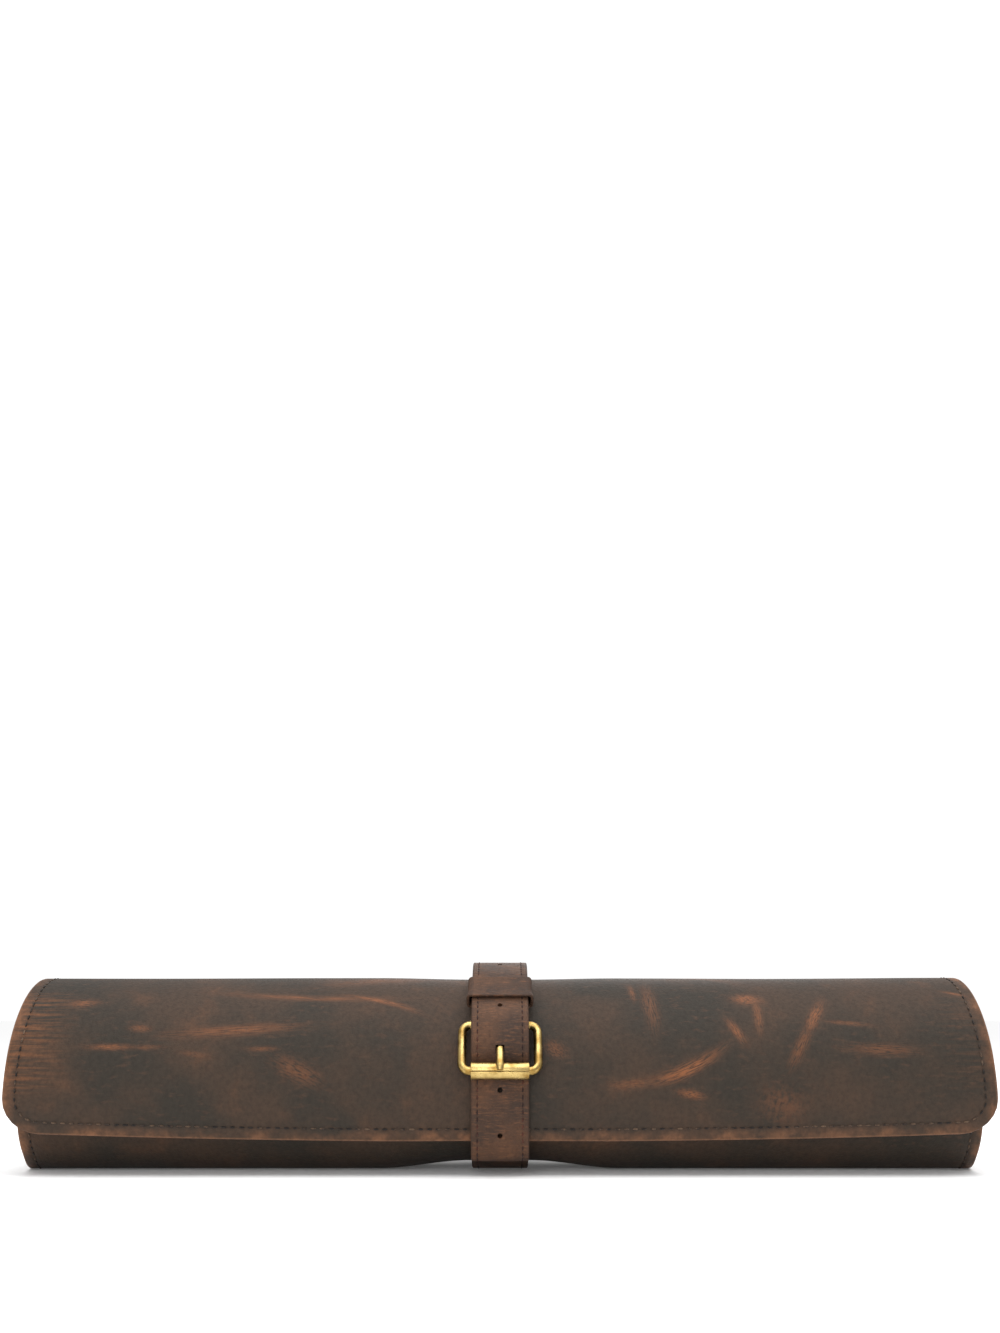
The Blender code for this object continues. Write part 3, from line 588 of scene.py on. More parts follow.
def cut_lines(sheet, places, axis):
    """Cuts a sheet at places in rising order; only what lies beyond a cut is cut again."""
    normal = Vector([1.0 if i == axis else 0.0 for i in range(3)])
    rest = sheet.verts[:] + sheet.edges[:] + sheet.faces[:]
    for place in places:
        cut = bmesh.ops.bisect_plane(sheet, geom=rest, dist=1e-6, plane_co=normal * place, plane_no=normal)
        rest = [part for part in cut["geom"] if farthest(part, axis) > place + 1e-5]
        rest = [part for part in rest if part.is_valid]


def farthest(part, axis):
    """The largest coordinate of a vertex, edge or face."""
    if isinstance(part, bmesh.types.BMVert):
        return part.co[axis]
    return max(vert.co[axis] for vert in part.verts)


def turn_lines(low, high, pitch):
    """Places across where a sheet is cut so that it bends in equal turns."""
    return [row[0] for row in PATH if low + CUT_MARGIN < row[0] < high - CUT_MARGIN
            and ((row[3] - FLAP_TURN) % pitch == 0 or row[3] == 270)]


def even_lines(low, high, pitch):
    """Evenly spaced places between two limits."""
    count = max(1, round((high - low) / pitch))
    return [low + (high - low) * i / count for i in range(1, count)]


def limits(sheet, axis):
    """Lowest and highest coordinate of a sheet."""
    values = [vert.co[axis] for vert in sheet.verts]
    return min(values), max(values)


def remember_cut(sheet):
    """Keeps each vertex's flat place for the finishes."""
    layer = sheet.verts.layers.float_vector.new("cut")
    for vert in sheet.verts:
        vert[layer] = vert.co


def finish_piece(name, shape, finish, replaced=(), sharp=None):
    """Makes a shape an object at the origin that rides on the roll."""
    if shape.calc_volume(signed=True) < 0:
        bmesh.ops.reverse_faces(shape, faces=shape.faces[:])
    mesh = bpy.data.meshes.new(name)
    shape.to_mesh(mesh)
    shape.free()
    mesh.materials.append(finish)
    mesh.shade_smooth()
    if sharp:
        mesh.set_sharp_from_angle(angle=math.radians(sharp))
    piece = bpy.data.objects.new(name, mesh)
    bpy.context.scene.collection.objects.link(piece)
    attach(piece, "root")
    if replaced:
        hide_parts(*replaced)
    print(name, len(mesh.polygons), "faces")
    return piece


def roll_up(name, sheet, finish, turn_pitch, along_pitch, seat=None):
    """Cuts a flat sheet along its bending lines, rolls it up and finishes it."""
    low, high = limits(sheet, 1)
    lines = even_lines(low, high, along_pitch) + [side * place for side in (-1, 1)
                                                  for place in (SQUEEZE_EDGE, SQUEEZE_END)]
    cut_lines(sheet, sorted(line for line in lines if low + CUT_MARGIN < line < high - CUT_MARGIN), axis=1)
    low, high = limits(sheet, 0)
    cut_lines(sheet, turn_lines(low, high, turn_pitch), axis=0)
    remember_cut(sheet)
    for vert in sheet.verts:
        across, along, depth = vert.co
        depth += seat(across, along) if seat else 0.0
        vert.co = rolled(bowed(across, along), along, depth)
    return finish_piece(name, sheet, finish, (name,))


# %% [markdown]
# The outer panel is 1.8 mm hide whose edge is turned in and sewn, so its border is 3 mm thick and feels
# padded. The stitches pull a groove into the outer face. The groove is real geometry, because it catches the
# light all the way round the flap.

# %% The outer panel
LEATHER = 0.0018
TURNED_EDGE = 0.0012
PANEL_CORNER = 0.018
HALF = PANEL_LENGTH / 2
STITCH_LINE = 0.0062
GROOVE_HALF = 0.0010
GROOVE_DEPTH = 0.00045
RIM_ROUND = 0.0012


def make_outer_panel():
    """The hide: rounded rim, stitched groove outside, turned border inside."""
    sheet = blank((0, PANEL_ACROSS), (-HALF, HALF), (0, LEATHER + TURNED_EDGE), PANEL_CORNER, RIM_ROUND)
    outside = [face for face in sheet.faces if face.normal.z < -0.99]
    for width, push in ((STITCH_LINE - GROOVE_HALF - RIM_ROUND, 0.0), (GROOVE_HALF, -GROOVE_DEPTH),
                        (GROOVE_HALF, GROOVE_DEPTH)):
        bmesh.ops.inset_region(sheet, faces=outside, thickness=width, depth=push, use_even_offset=True)
    inside = [face for face in sheet.faces if face.normal.z > 0.99]
    bmesh.ops.inset_region(sheet, faces=inside, thickness=BORDER_WIDTH - RIM_ROUND, use_even_offset=True)
    sunk = bmesh.ops.extrude_face_region(sheet, geom=inside)
    bmesh.ops.delete(sheet, geom=inside, context='FACES')
    floor = [part for part in sunk["geom"] if isinstance(part, bmesh.types.BMVert)]
    bmesh.ops.translate(sheet, verts=floor, vec=(0, 0, -TURNED_EDGE))
    return roll_up("outer_panel", sheet, HIDE, TURN_PITCH_FINE, CUT_PITCH)


hide = make_outer_panel()
hide.name = "rolled_hide"

# %% [markdown]
# Inside lie the lining, the knife pocket, the band over its closed end, the divider strip and the flap over
# the handles. Rolled up they show only as layered edges at the two ends, but those edges are what makes the
# roll look sewn and not solid, so each layer keeps its own thickness and a sliver of air.

# %% The suede and trim inside
SUEDE_SHEET = 0.0012
BAND_LEATHER = 0.0015
BAND_WIDTH = 0.026
BAND_RAMP = 0.004
STRIP_WIDTH = 0.016
FLAP_CORNER = 0.020
FLAP_DROP = 0.199
MOUTH_GAP = 0.0152
POCKET_START = 0.094
POCKET_MARGIN = 0.009
POCKET_END = PANEL_ACROSS - POCKET_MARGIN
INSIDE = BORDER_WIDTH + GAP
INNER_FACE = LEATHER + SHEET_GAP
ON_LINING = INNER_FACE + SUEDE_SHEET + SHEET_GAP
ON_POCKET = ON_LINING + SUEDE_SHEET + SHEET_GAP
FLAP_FREE_EDGE = HALF - INSIDE - FLAP_DROP
POCKET_MOUTH = FLAP_FREE_EDGE - MOUTH_GAP
SHEET_RIM = 0.0004


def band_seat(across, along):
    """The band ramps up from the border over the pocket's two sewn sides."""
    past_border = min(along + HALF - BORDER_WIDTH, across - POCKET_START + 2 * BAND_RAMP)
    return min(1.0, max(0.0, past_border / BAND_RAMP)) * (ON_POCKET - ON_LINING)


def inside_sheet(name, finish, across, along, depth, corner=0.0, seat=None,
                 turn_pitch=TURN_PITCH_COARSE):
    """One sheet of the inside, made at the size that it is cut to and rolled up."""
    sheet = blank(across, along, depth, corner, SHEET_RIM)
    piece = roll_up(name, sheet, finish, turn_pitch, 2 * CUT_PITCH, seat)
    piece.name = "rolled_" + name


inside_sheet("lining", SUEDE, (INSIDE, PANEL_ACROSS - INSIDE), (-HALF + INSIDE, HALF - INSIDE),
             (INNER_FACE, INNER_FACE + SUEDE_SHEET), PANEL_CORNER - BORDER_WIDTH)
inside_sheet("knife_pocket", SUEDE, (POCKET_START, POCKET_END),
             (-HALF + BORDER_WIDTH + BAND_RAMP + GAP, POCKET_MOUTH), (ON_LINING, ON_LINING + SUEDE_SHEET))
inside_sheet("pocket_band", TRIM, (POCKET_START - STRIP_WIDTH - GAP, PANEL_ACROSS - INSIDE),
             (-HALF, -HALF + BAND_WIDTH), (ON_LINING, ON_LINING + BAND_LEATHER), seat=band_seat,
             turn_pitch=TURN_PITCH_FINE)
inside_sheet("divider_strip", TRIM, (POCKET_START - GAP - STRIP_WIDTH, POCKET_START - GAP),
             (-HALF + BAND_WIDTH + GAP, HALF - INSIDE), (ON_LINING, ON_LINING + BAND_LEATHER))
inside_sheet("top_flap", SUEDE, (POCKET_START + GAP, POCKET_END), (FLAP_FREE_EDGE, HALF - INSIDE),
             (ON_LINING, ON_LINING + SUEDE_SHEET), FLAP_CORNER)

# %% [markdown]
# The long zip of the flap's compartment is rolled in behind the flap's edge. Its teeth are small blocks in
# two rows that mesh like fingers, made by one loop. The slider, its ring and the leather puller sit at one
# end, each on the solid that it stands for.

# %% The zip
ZIP_PLACE = 0.034
ZIP_START = 0.053
ZIP_STOP = 0.047
TAPE_WIDTH = 0.020
TAPE = 0.0009
TEETH_WIDTH = 0.005
TEETH = 0.0011
TOOTH_PITCH = 0.0026
SLIDER_SIZE = 0.009
SLIDER_THICKNESS = 0.0017
SLIDER_RIM = 0.0003
SLIDER_BRIDGE = 0.0004
RING_WIRE = 0.0012
RING_WIDTH = 0.012
PULLER_WIDTH = 0.015
PULLER_CORNER = 0.003
ZIP_LOW = -HALF + ZIP_START
ZIP_HIGH = HALF - ZIP_STOP
ON_TAPE = ON_LINING + TAPE + GAP


def wrap_shape(shape):
    """Rolls up a small flat shape as it is."""
    remember_cut(shape)
    for vert in shape.verts:
        vert.co = rolled(bowed(vert.co.x, vert.co.y), vert.co.y, vert.co.z)


def add_block(shape, middle, size):
    """Adds a box to a shape."""
    matrix = Matrix.Translation(middle) @ Matrix.Diagonal((*size, 1.0))
    return bmesh.ops.create_cube(shape, size=1.0, matrix=matrix)["verts"]


def make_teeth():
    """Two rows of teeth that mesh along the tape."""
    teeth = bmesh.new()
    start, end = ZIP_LOW + SLIDER_SIZE + GAP, ZIP_HIGH
    count = int((end - start) / TOOTH_PITCH)
    for i in range(2 * count):
        side = 1 if i % 2 else -1
        along = start + (i + 1) * TOOTH_PITCH / 2
        add_block(teeth, (ZIP_PLACE + side * TEETH_WIDTH * 0.2, along, ON_TAPE + TEETH / 2),
                  (TEETH_WIDTH * 0.6, TOOTH_PITCH * 0.36, TEETH))
    wrap_shape(teeth)
    return finish_piece("zip_tooth_rows", teeth, BRASS, ("zip_teeth",), sharp=40)


def make_zip_slider():
    """The slider: a rounded plate with a bridge for the ring."""
    half = SLIDER_SIZE / 2
    slider = blank((ZIP_PLACE - half, ZIP_PLACE + half), (ZIP_LOW, ZIP_LOW + SLIDER_SIZE),
                   (ON_TAPE, ON_TAPE + SLIDER_THICKNESS), SLIDER_SIZE / 4, SLIDER_RIM)
    add_block(slider, (ZIP_PLACE, ZIP_LOW + half, ON_TAPE + SLIDER_THICKNESS + SLIDER_BRIDGE / 2),
              (half / 2, half * 1.3, SLIDER_BRIDGE))
    wrap_shape(slider)
    return finish_piece("zip_runner", slider, BRASS, ("zip_slider",), sharp=40)


def make_zip_ring():
    """The ring that joins the puller to the slider: a turned wire, flattened as it lies in the roll."""
    ring = bmesh.new()
    middle = Vector((ZIP_PLACE, ZIP_LOW - GAP - RING_WIRE / 2, ON_TAPE + RING_WIRE / 2))
    left = Matrix.Translation(middle - Vector((RING_WIDTH / 2, 0, 0)))
    matrix = left @ Matrix.Rotation(math.pi / 2, 4, 'Y')
    circle = bmesh.ops.create_circle(ring, segments=8, radius=RING_WIRE / 2, matrix=matrix)
    rim = list({edge for vert in circle["verts"] for edge in vert.link_edges})
    pushed = bmesh.ops.extrude_edge_only(ring, edges=rim)
    moved = [part for part in pushed["geom"] if isinstance(part, bmesh.types.BMVert)]
    bmesh.ops.translate(ring, verts=moved, vec=(RING_WIDTH, 0, 0))
    bmesh.ops.holes_fill(ring, edges=[edge for edge in ring.edges if edge.is_boundary])
    bmesh.ops.recalc_face_normals(ring, faces=ring.faces[:])
    wrap_shape(ring)
    return finish_piece("zip_pull_ring", ring, BRASS, ("zip_ring",), sharp=40)


inside_sheet("zip_tape", TAPE_CLOTH, (ZIP_PLACE - TAPE_WIDTH / 2, ZIP_PLACE + TAPE_WIDTH / 2),
             (ZIP_LOW, ZIP_HIGH), (ON_LINING, ON_LINING + TAPE))
make_teeth()
make_zip_slider()
make_zip_ring()
PULLER_START = ZIP_PLACE + SLIDER_SIZE / 2 + GAP - PULLER_WIDTH / 2
inside_sheet("zip_puller", TRIM, (PULLER_START, PULLER_START + PULLER_WIDTH),
             (-HALF + BAND_WIDTH + GAP, ZIP_LOW - 2 * GAP - RING_WIRE), (ON_LINING, ON_LINING + BAND_LEATHER),
             PULLER_CORNER)

# %% [markdown]
# The strap's route is a line of its own: down from the fold's end, round the buckle's bar, back over the
# keeper's leg, over the top and down the back, under the roll, up past the flap's edge and under the roller,
# then over the bar and through the keeper. Heights above the leather are worked out from the thicknesses that
# lie beneath, so the layers can't cut into each other.

# %% The strap's line
FOLD_LEATHER = 0.0014
FOLD_LENGTH = 0.030
STEP_DOWN = 0.007
TIP_PAST_TOP = 0.030
TIP_LIFT = 0.0018
LEAVE_TURN = 300
LANDING_ROOM = 0.002
LANDING = -(EDGE_BOW - EDGE_RISE + LANDING_ROOM)
BRIDGE_REACH = 0.36
BRIDGE_STEPS = 12
KEEPER_WIDTH = 0.013
KEEPER_LEATHER = 0.0014
KEEPER_PLACE = 0.0715
KEEPER_EASE = 0.004
BUCKLE_WIDTH = 0.041
BUCKLE_WIRE = 0.0042
BAR_PLACE = 0.0535
BAR_TO_ROLLER = 0.0215
ROLLER_RADIUS = 0.0041
BASE_MIDDLE = GAP + STRAP_LEATHER / 2
UNDER_KEEPER = GAP + FOLD_LEATHER
ON_KEEPER_LEG = UNDER_KEEPER + GAP + KEEPER_LEATHER + GAP
FOLD_TOP = ON_KEEPER_LEG + FOLD_LEATHER
BAR_RADIUS = BUCKLE_WIRE / 2
BAR_HEIGHT = UNDER_KEEPER + GAP + BAR_RADIUS
EYE_MIDDLE = BAR_RADIUS + GAP + FOLD_LEATHER / 2
EYE_TOP = BAR_HEIGHT + EYE_MIDDLE + FOLD_LEATHER / 2
ROLLER_PLACE = BAR_PLACE - BAR_TO_ROLLER
ROLLER_HEIGHT = GAP + STRAP_LEATHER + GAP + ROLLER_RADIUS
KEEPER_ZONE = KEEPER_WIDTH / 2 + KEEPER_EASE
TOP_LAYER = FOLD_TOP + GAP + STRAP_LEATHER / 2
OUTER_LAYER = 2 * GAP + 1.5 * STRAP_LEATHER
HUMP = EYE_TOP + GAP + STRAP_LEATHER / 2
LINE_STEP = 0.0022
BEND_STEP = 15


def above(across, height):
    """Point (y, z) over the middle of the roll, at a height above its outer face."""
    place = rolled(across, 0.0, -height)
    return Vector((place.y, place.z))


def bar_point(angle, radius):
    """Point round the buckle's bar: angle 0 points up the strap, 90 away from the roll."""
    middle = above(BAR_PLACE, BAR_HEIGHT)
    upward = (above(BAR_PLACE, BAR_HEIGHT + MILLIMETRE) - middle).normalized()
    along = Vector((upward.y, -upward.x))
    angle = math.radians(angle)
    return middle + radius * (math.cos(angle) * along + math.sin(angle) * upward)


def line_rows(table):
    """Rows (point, thickness) every few millimetres through a table of places and heights."""
    rows = []
    for first, second in zip(table, table[1:]):
        steps = max(1, round(abs(second[0] - first[0]) / LINE_STEP))
        for i in range(steps):
            share = i / steps
            place, height, thickness = (first[k] + share * (second[k] - first[k]) for k in range(3))
            rows.append((above(place, height), thickness))
    rows.append((above(table[-1][0], table[-1][1]), table[-1][2]))
    return rows


def bridge(start):
    """The strap's middle from the lower layer to the flap, round the flap's edge."""
    end = above(LANDING, BASE_MIDDLE)
    turn = math.radians(LEAVE_TURN)
    start_way = Vector((math.sin(turn), math.cos(turn)))
    end_way = (above(LANDING + LANDING_ROOM, BASE_MIDDLE) - end).normalized()
    reach = (end - start).length * BRIDGE_REACH
    points = []
    for i in range(1, BRIDGE_STEPS + 1):
        share, rest = i / BRIDGE_STEPS, 1 - i / BRIDGE_STEPS
        point = rest ** 3 * start + 3 * rest ** 2 * share * (start + reach * start_way)
        points.append(point + 3 * rest * share ** 2 * (end - reach * end_way) + share ** 3 * end)
    return points


def smoothed(rows, rounds):
    """Rounds the corners between a line's stretches."""
    for _ in range(rounds):
        points = [row[0] for row in rows]
        points[1:-1] = [points[i] * 0.5 + (points[i - 1] + points[i + 1]) * 0.25
                        for i in range(1, len(points) - 1)]
        rows = [(point, row[1]) for point, row in zip(points, rows)]
    return rows


def strap_line():
    """Rows of (point, thickness) along the strap's middle, from its folded end to its tip."""
    fold_end = BAR_PLACE + FOLD_LENGTH
    under_bar = GAP + FOLD_LEATHER / 2
    over_leg = ON_KEEPER_LEG + FOLD_LEATHER / 2
    folded = [(fold_end, under_bar, FOLD_LEATHER), (BAR_PLACE + EYE_MIDDLE, under_bar, FOLD_LEATHER)]
    base = [  # across, height of the middle, thickness
        (BAR_PLACE + 2 * EYE_MIDDLE, BAR_HEIGHT + 0.86 * EYE_MIDDLE, FOLD_LEATHER),
        (KEEPER_PLACE - KEEPER_ZONE, over_leg, FOLD_LEATHER),
        (fold_end, over_leg, FOLD_LEATHER),
        (fold_end + STEP_DOWN, BASE_MIDDLE, STRAP_LEATHER),
        (across_at(LEAVE_TURN), BASE_MIDDLE, STRAP_LEATHER),
    ]
    front = [  # across, height of the middle, thickness
        (LANDING, BASE_MIDDLE, STRAP_LEATHER),
        (ROLLER_PLACE + 0.05 * BAR_TO_ROLLER, BASE_MIDDLE, STRAP_LEATHER),
        (ROLLER_PLACE + 0.21 * BAR_TO_ROLLER, 0.36 * HUMP, STRAP_LEATHER),
        (ROLLER_PLACE + 0.31 * BAR_TO_ROLLER, 0.60 * HUMP, STRAP_LEATHER),
        (ROLLER_PLACE + 0.43 * BAR_TO_ROLLER, 0.84 * HUMP, STRAP_LEATHER),
        (ROLLER_PLACE + 0.62 * BAR_TO_ROLLER, 0.96 * HUMP, STRAP_LEATHER),
        (BAR_PLACE, HUMP, STRAP_LEATHER),
        (BAR_PLACE + 0.23 * BAR_TO_ROLLER, 0.97 * HUMP, STRAP_LEATHER),
        (KEEPER_PLACE - KEEPER_ZONE, TOP_LAYER + GAP, STRAP_LEATHER),
        (KEEPER_PLACE, TOP_LAYER, STRAP_LEATHER),
        (fold_end, TOP_LAYER, STRAP_LEATHER),
        (fold_end + STEP_DOWN, OUTER_LAYER + TIP_LIFT / 2, STRAP_LEATHER),
        (across_at(90) + TIP_PAST_TOP, OUTER_LAYER + TIP_LIFT, STRAP_LEATHER),
    ]
    rows = line_rows(folded)
    rows += [(bar_point(angle, EYE_MIDDLE), FOLD_LEATHER) for angle in range(-90, -271, -BEND_STEP)]
    base_rows = line_rows(base)
    bridge_rows = [(point, STRAP_LEATHER) for point in bridge(base_rows[-1][0])]
    return rows + smoothed(base_rows + bridge_rows + line_rows(front)[1:], 3)


def ribbon_frame(rows):
    """Adds the length so far and the side direction to the rows of a ribbon's middle line."""
    framed, length = [], 0.0
    for i, (point, thickness) in enumerate(rows):
        way = (rows[min(len(rows) - 1, i + 1)][0] - rows[max(0, i - 1)][0]).normalized()
        length += (point - rows[i - 1][0]).length if i else 0.0
        framed.append((length, point, Vector((-way.y, way.x)), thickness))
    return framed


STRAP_FRAME = ribbon_frame(strap_line())
STRAP_LENGTH = STRAP_FRAME[-1][0]
STRAP_STEPS = [row[0] for row in STRAP_FRAME]
print("strap:", round(STRAP_LENGTH, 3), "m long")

# %% [markdown]
# The strap is cut flat like the sheets, with its holes punched before it is bent. A Boolean with a joined
# cutter punches them all at once. Its stitched groove runs along both sides and round the slanted tip.

# %% The strap
TIP_SLANT = 0.009
HOLE_PITCH = 0.021
HOLE_RADIUS = 0.0013
HOLE_COUNT = 7
PRONG_WIDTH = 0.0037
PRONG_THICKNESS = 0.0026
PRONG_EYE = 0.0011
PRONG_EYE_START = 110
PRONG_EYE_END = -200
PRONG_REST = (40, 65, 88)
PRONG_SLOT = 0.0056
PRONG_ROOM = 0.0003
STRAP_STITCH = 0.0031
STRAP_RIM = 0.0006
STRAP_GROOVE_HALF = 0.0006
STRAP_GROOVE_DEPTH = 0.0002


def strap_place(run, side, height):
    """Place of a point of the flat strap: run along it, side across it, height from its middle."""
    i = min(len(STRAP_FRAME) - 1, max(1, bisect.bisect_left(STRAP_STEPS, run)))
    first, second = STRAP_FRAME[i - 1], STRAP_FRAME[i]
    share = (run - first[0]) / (second[0] - first[0])
    thickness = first[3] + share * (second[3] - first[3])
    outward = first[2].lerp(second[2], share).normalized()
    point = first[1].lerp(second[1], share) + outward * height * thickness / STRAP_LEATHER
    return Vector((side, point.x, point.y))


def prong_arm():
    """Middle points of the prong's arm, from its eye to its end over the roller."""
    roller = above(ROLLER_PLACE, ROLLER_HEIGHT)
    upward = (above(ROLLER_PLACE, ROLLER_HEIGHT + MILLIMETRE) - roller).normalized()
    back = Vector((upward.y, -upward.x))
    rest = ROLLER_RADIUS + GAP + PRONG_THICKNESS / 2
    arm = [bar_point(PRONG_EYE_END, BAR_RADIUS + GAP + PRONG_EYE / 2)]
    for angle in PRONG_REST:
        turn = math.radians(angle)
        arm.append(roller + rest * (math.cos(turn) * back + math.sin(turn) * upward))
    return arm


def crossing(start, end):
    """Where the line from start to end crosses the strap's last stretch, and how the line leans there."""
    way = end - start
    for first, second in reversed(list(zip(STRAP_FRAME, STRAP_FRAME[1:]))):
        low = way.x * (first[1] - start).y - way.y * (first[1] - start).x
        high = way.x * (second[1] - start).y - way.y * (second[1] - start).x
        if low * high <= 0 and 0 < (first[1] - start).dot(way) < way.dot(way):
            place = first[0] + (second[0] - first[0]) * abs(low) / (abs(low) + abs(high))
            outward = way.normalized().dot(first[2])
            return place, outward, way.normalized().dot((second[1] - first[1]).normalized())
    return 0.0, 1.0, 0.0


def punched(sheet, cutters):
    """The sheet with the cutters' shapes taken out of it."""
    pair = []
    for name, shape in (("punched", sheet), ("punch", cutters)):
        mesh = bpy.data.meshes.new(name)
        shape.to_mesh(mesh)
        shape.free()
        pair.append(bpy.data.objects.new(name, mesh))
        bpy.context.scene.collection.objects.link(pair[-1])
    cut = pair[0].modifiers.new("cut", 'BOOLEAN')
    cut.object = pair[1]
    evaluated = pair[0].evaluated_get(bpy.context.evaluated_depsgraph_get())
    result = bmesh.new()
    result.from_mesh(evaluated.to_mesh())
    evaluated.to_mesh_clear()
    for used in pair:
        bpy.data.objects.remove(used, do_unlink=True)
    return result


def strap_holes(prong_hole, outward, up_strap):
    """The round holes, the prong's leaning hole and the slot at the fold, as one cutter."""
    cutters = bmesh.new()
    hole_length = (PRONG_THICKNESS + 2 * PRONG_ROOM) / outward
    tall = 4 * STRAP_LEATHER
    for i in range(HOLE_COUNT):
        place = prong_hole + (i - HOLE_COUNT // 2) * HOLE_PITCH
        middle = Matrix.Translation((place, 0, 0))
        if i == HOLE_COUNT // 2:
            for vert in add_block(cutters, (place, 0, 0), (hole_length, PRONG_WIDTH + 2 * GAP, tall)):
                vert.co.x += vert.co.z * up_strap / outward
        elif place < STRAP_LENGTH - TIP_SLANT - HOLE_PITCH / 2:
            bmesh.ops.create_cone(cutters, segments=16, radius1=HOLE_RADIUS, radius2=HOLE_RADIUS, depth=tall,
                                  cap_ends=True, matrix=middle)
    bar = above(BAR_PLACE, BAR_HEIGHT)
    eye = [row[0] for row in STRAP_FRAME if (row[1] - bar).length < EYE_MIDDLE + 0.1 * MILLIMETRE]
    slot_length = eye[-1] - eye[0] + PRONG_SLOT
    add_block(cutters, ((eye[0] + eye[-1]) / 2, 0, 0), (slot_length, PRONG_SLOT, tall))
    return cutters


def make_strap():
    """The doubled strap with rounded rims, groove, holes and slanted tip."""
    half = STRAP_LEATHER / 2
    sheet = blank((0, STRAP_LENGTH), (-STRAP_WIDTH / 2, STRAP_WIDTH / 2), (-half, half))
    slant = Vector((STRAP_WIDTH, TIP_SLANT, 0)).normalized()
    whole = sheet.verts[:] + sheet.edges[:] + sheet.faces[:]
    cut = bmesh.ops.bisect_plane(sheet, geom=whole, dist=1e-7, plane_no=slant, clear_outer=True,
                                 plane_co=(STRAP_LENGTH - TIP_SLANT / 2, 0, 0))["geom_cut"]
    bmesh.ops.holes_fill(sheet, edges=[part for part in cut if isinstance(part, bmesh.types.BMEdge)])
    soften(sheet, STRAP_RIM)
    top = [face for face in sheet.faces if face.normal.z > 0.99]
    for width, push in ((STRAP_STITCH - STRAP_RIM - STRAP_GROOVE_HALF, 0.0),
                        (STRAP_GROOVE_HALF, -STRAP_GROOVE_DEPTH), (STRAP_GROOVE_HALF, STRAP_GROOVE_DEPTH)):
        bmesh.ops.inset_region(sheet, faces=top, thickness=width, depth=push, use_even_offset=True)
    arm = prong_arm()
    sheet = punched(sheet, strap_holes(*crossing(arm[0], arm[1])))
    cut_lines(sheet, STRAP_STEPS[1:-1], axis=0)
    remember_cut(sheet)
    for vert in sheet.verts:
        vert.co = strap_place(*vert.co)
    return finish_piece("buckled_strap", sheet, STRAP, ("strap",), sharp=50)


strap = make_strap()

# %% [markdown]
# Stitches are what tells leatherwork from plastic at this size. Each one is a small rounded bar, sunk into
# its groove and following it round the corners. One loop lays them at an even pitch along any seam, first
# flat, and then the same rule that rolled the leather rolls them.

# %% Stitches
STITCH_PITCH = 0.0043
STITCH_LENGTH = 0.0027
STITCH_THICKNESS = 0.0010
STRAP_PITCH = 0.0034
STRAP_STITCH_LENGTH = 0.0024
STRAP_THREAD_THICKNESS = 0.0008
STITCH_SINK = 0.35 * GROOVE_DEPTH
STRAP_STITCH_SINK = 0.00012


def rounded_seam(low, high, corner, pitch):
    """Places and headings along a rounded rectangle from (across, along) low to high."""
    runs = []
    for start, across, along, right, up in ((0, high[0], high[1], 1, 1), (90, low[0], high[1], -1, 1),
                                            (180, low[0], low[1], -1, -1), (270, high[0], low[1], 1, -1)):
        centre = Vector((across - corner * right, along - corner * up))
        for step in range(0, 91, 15):
            turn = math.radians(start + step)
            runs.append(centre + corner * Vector((math.cos(turn), math.sin(turn))))
    return along_line(runs + runs[:1], pitch)


def along_line(points, pitch):
    """Places and headings at an even pitch along a line of flat points."""
    places, carried = [], pitch / 2
    for first, second in zip(points, points[1:]):
        way = second - first
        while carried < way.length:
            places.append((first + way.normalized() * carried, math.atan2(way.y, way.x)))
            carried += pitch
        carried -= way.length
    return places


def add_stitch(shape, place, heading, height, length, thickness):
    """One stitch, flat, as a stretched ball of a few faces."""
    laid = Matrix.Translation((place.x, place.y, height)) @ Matrix.Rotation(heading, 4, 'Z')
    drawn_out = Matrix.Diagonal((length, thickness, thickness, 1.0)) @ Matrix.Rotation(math.pi / 2, 4, 'Y')
    bmesh.ops.create_uvsphere(shape, u_segments=6, v_segments=5, radius=0.5, matrix=laid @ drawn_out)


def hide_stitches():
    """The seam round the hide's turned edge, on its outer face."""
    seam = bmesh.new()
    low = Vector((STITCH_LINE, -HALF + STITCH_LINE))
    high = Vector((PANEL_ACROSS - STITCH_LINE, HALF - STITCH_LINE))
    for place, heading in rounded_seam(low, high, PANEL_CORNER - STITCH_LINE, STITCH_PITCH):
        add_stitch(seam, place, heading, STITCH_SINK, STITCH_LENGTH, STITCH_THICKNESS)
    wrap_shape(seam)
    return finish_piece("hide_seam", seam, THREAD)


def strap_stitches():
    """Two rows along the strap's outer side."""
    seam = bmesh.new()
    side = STRAP_WIDTH / 2 - STRAP_STITCH
    for sign in (-1, 1):
        end = STRAP_LENGTH - TIP_SLANT / 2 - STRAP_STITCH - sign * TIP_SLANT * side / STRAP_WIDTH
        line = [Vector((BAR_PLACE, sign * side)), Vector((end, sign * side))]
        for place, heading in along_line(line, STRAP_PITCH):
            add_stitch(seam, place, heading, STRAP_LEATHER / 2 - STRAP_STITCH_SINK, STRAP_STITCH_LENGTH,
                       STRAP_THREAD_THICKNESS)
    remember_cut(seam)
    for vert in seam.verts:
        vert.co = strap_place(*vert.co)
    return finish_piece("strap_seam", seam, STRAP_THREAD)


hide_stitches()
strap_stitches()

# %% [markdown]
# The keeper is a loop of thin leather round both strap layers, with its leg in the strap's fold. It starts
# as a box without ends: its corners are bevelled, a Solidify operator gives it its wall, and a shallow
# hollow across its width makes its two edges stand up as they do on a moulded keeper.

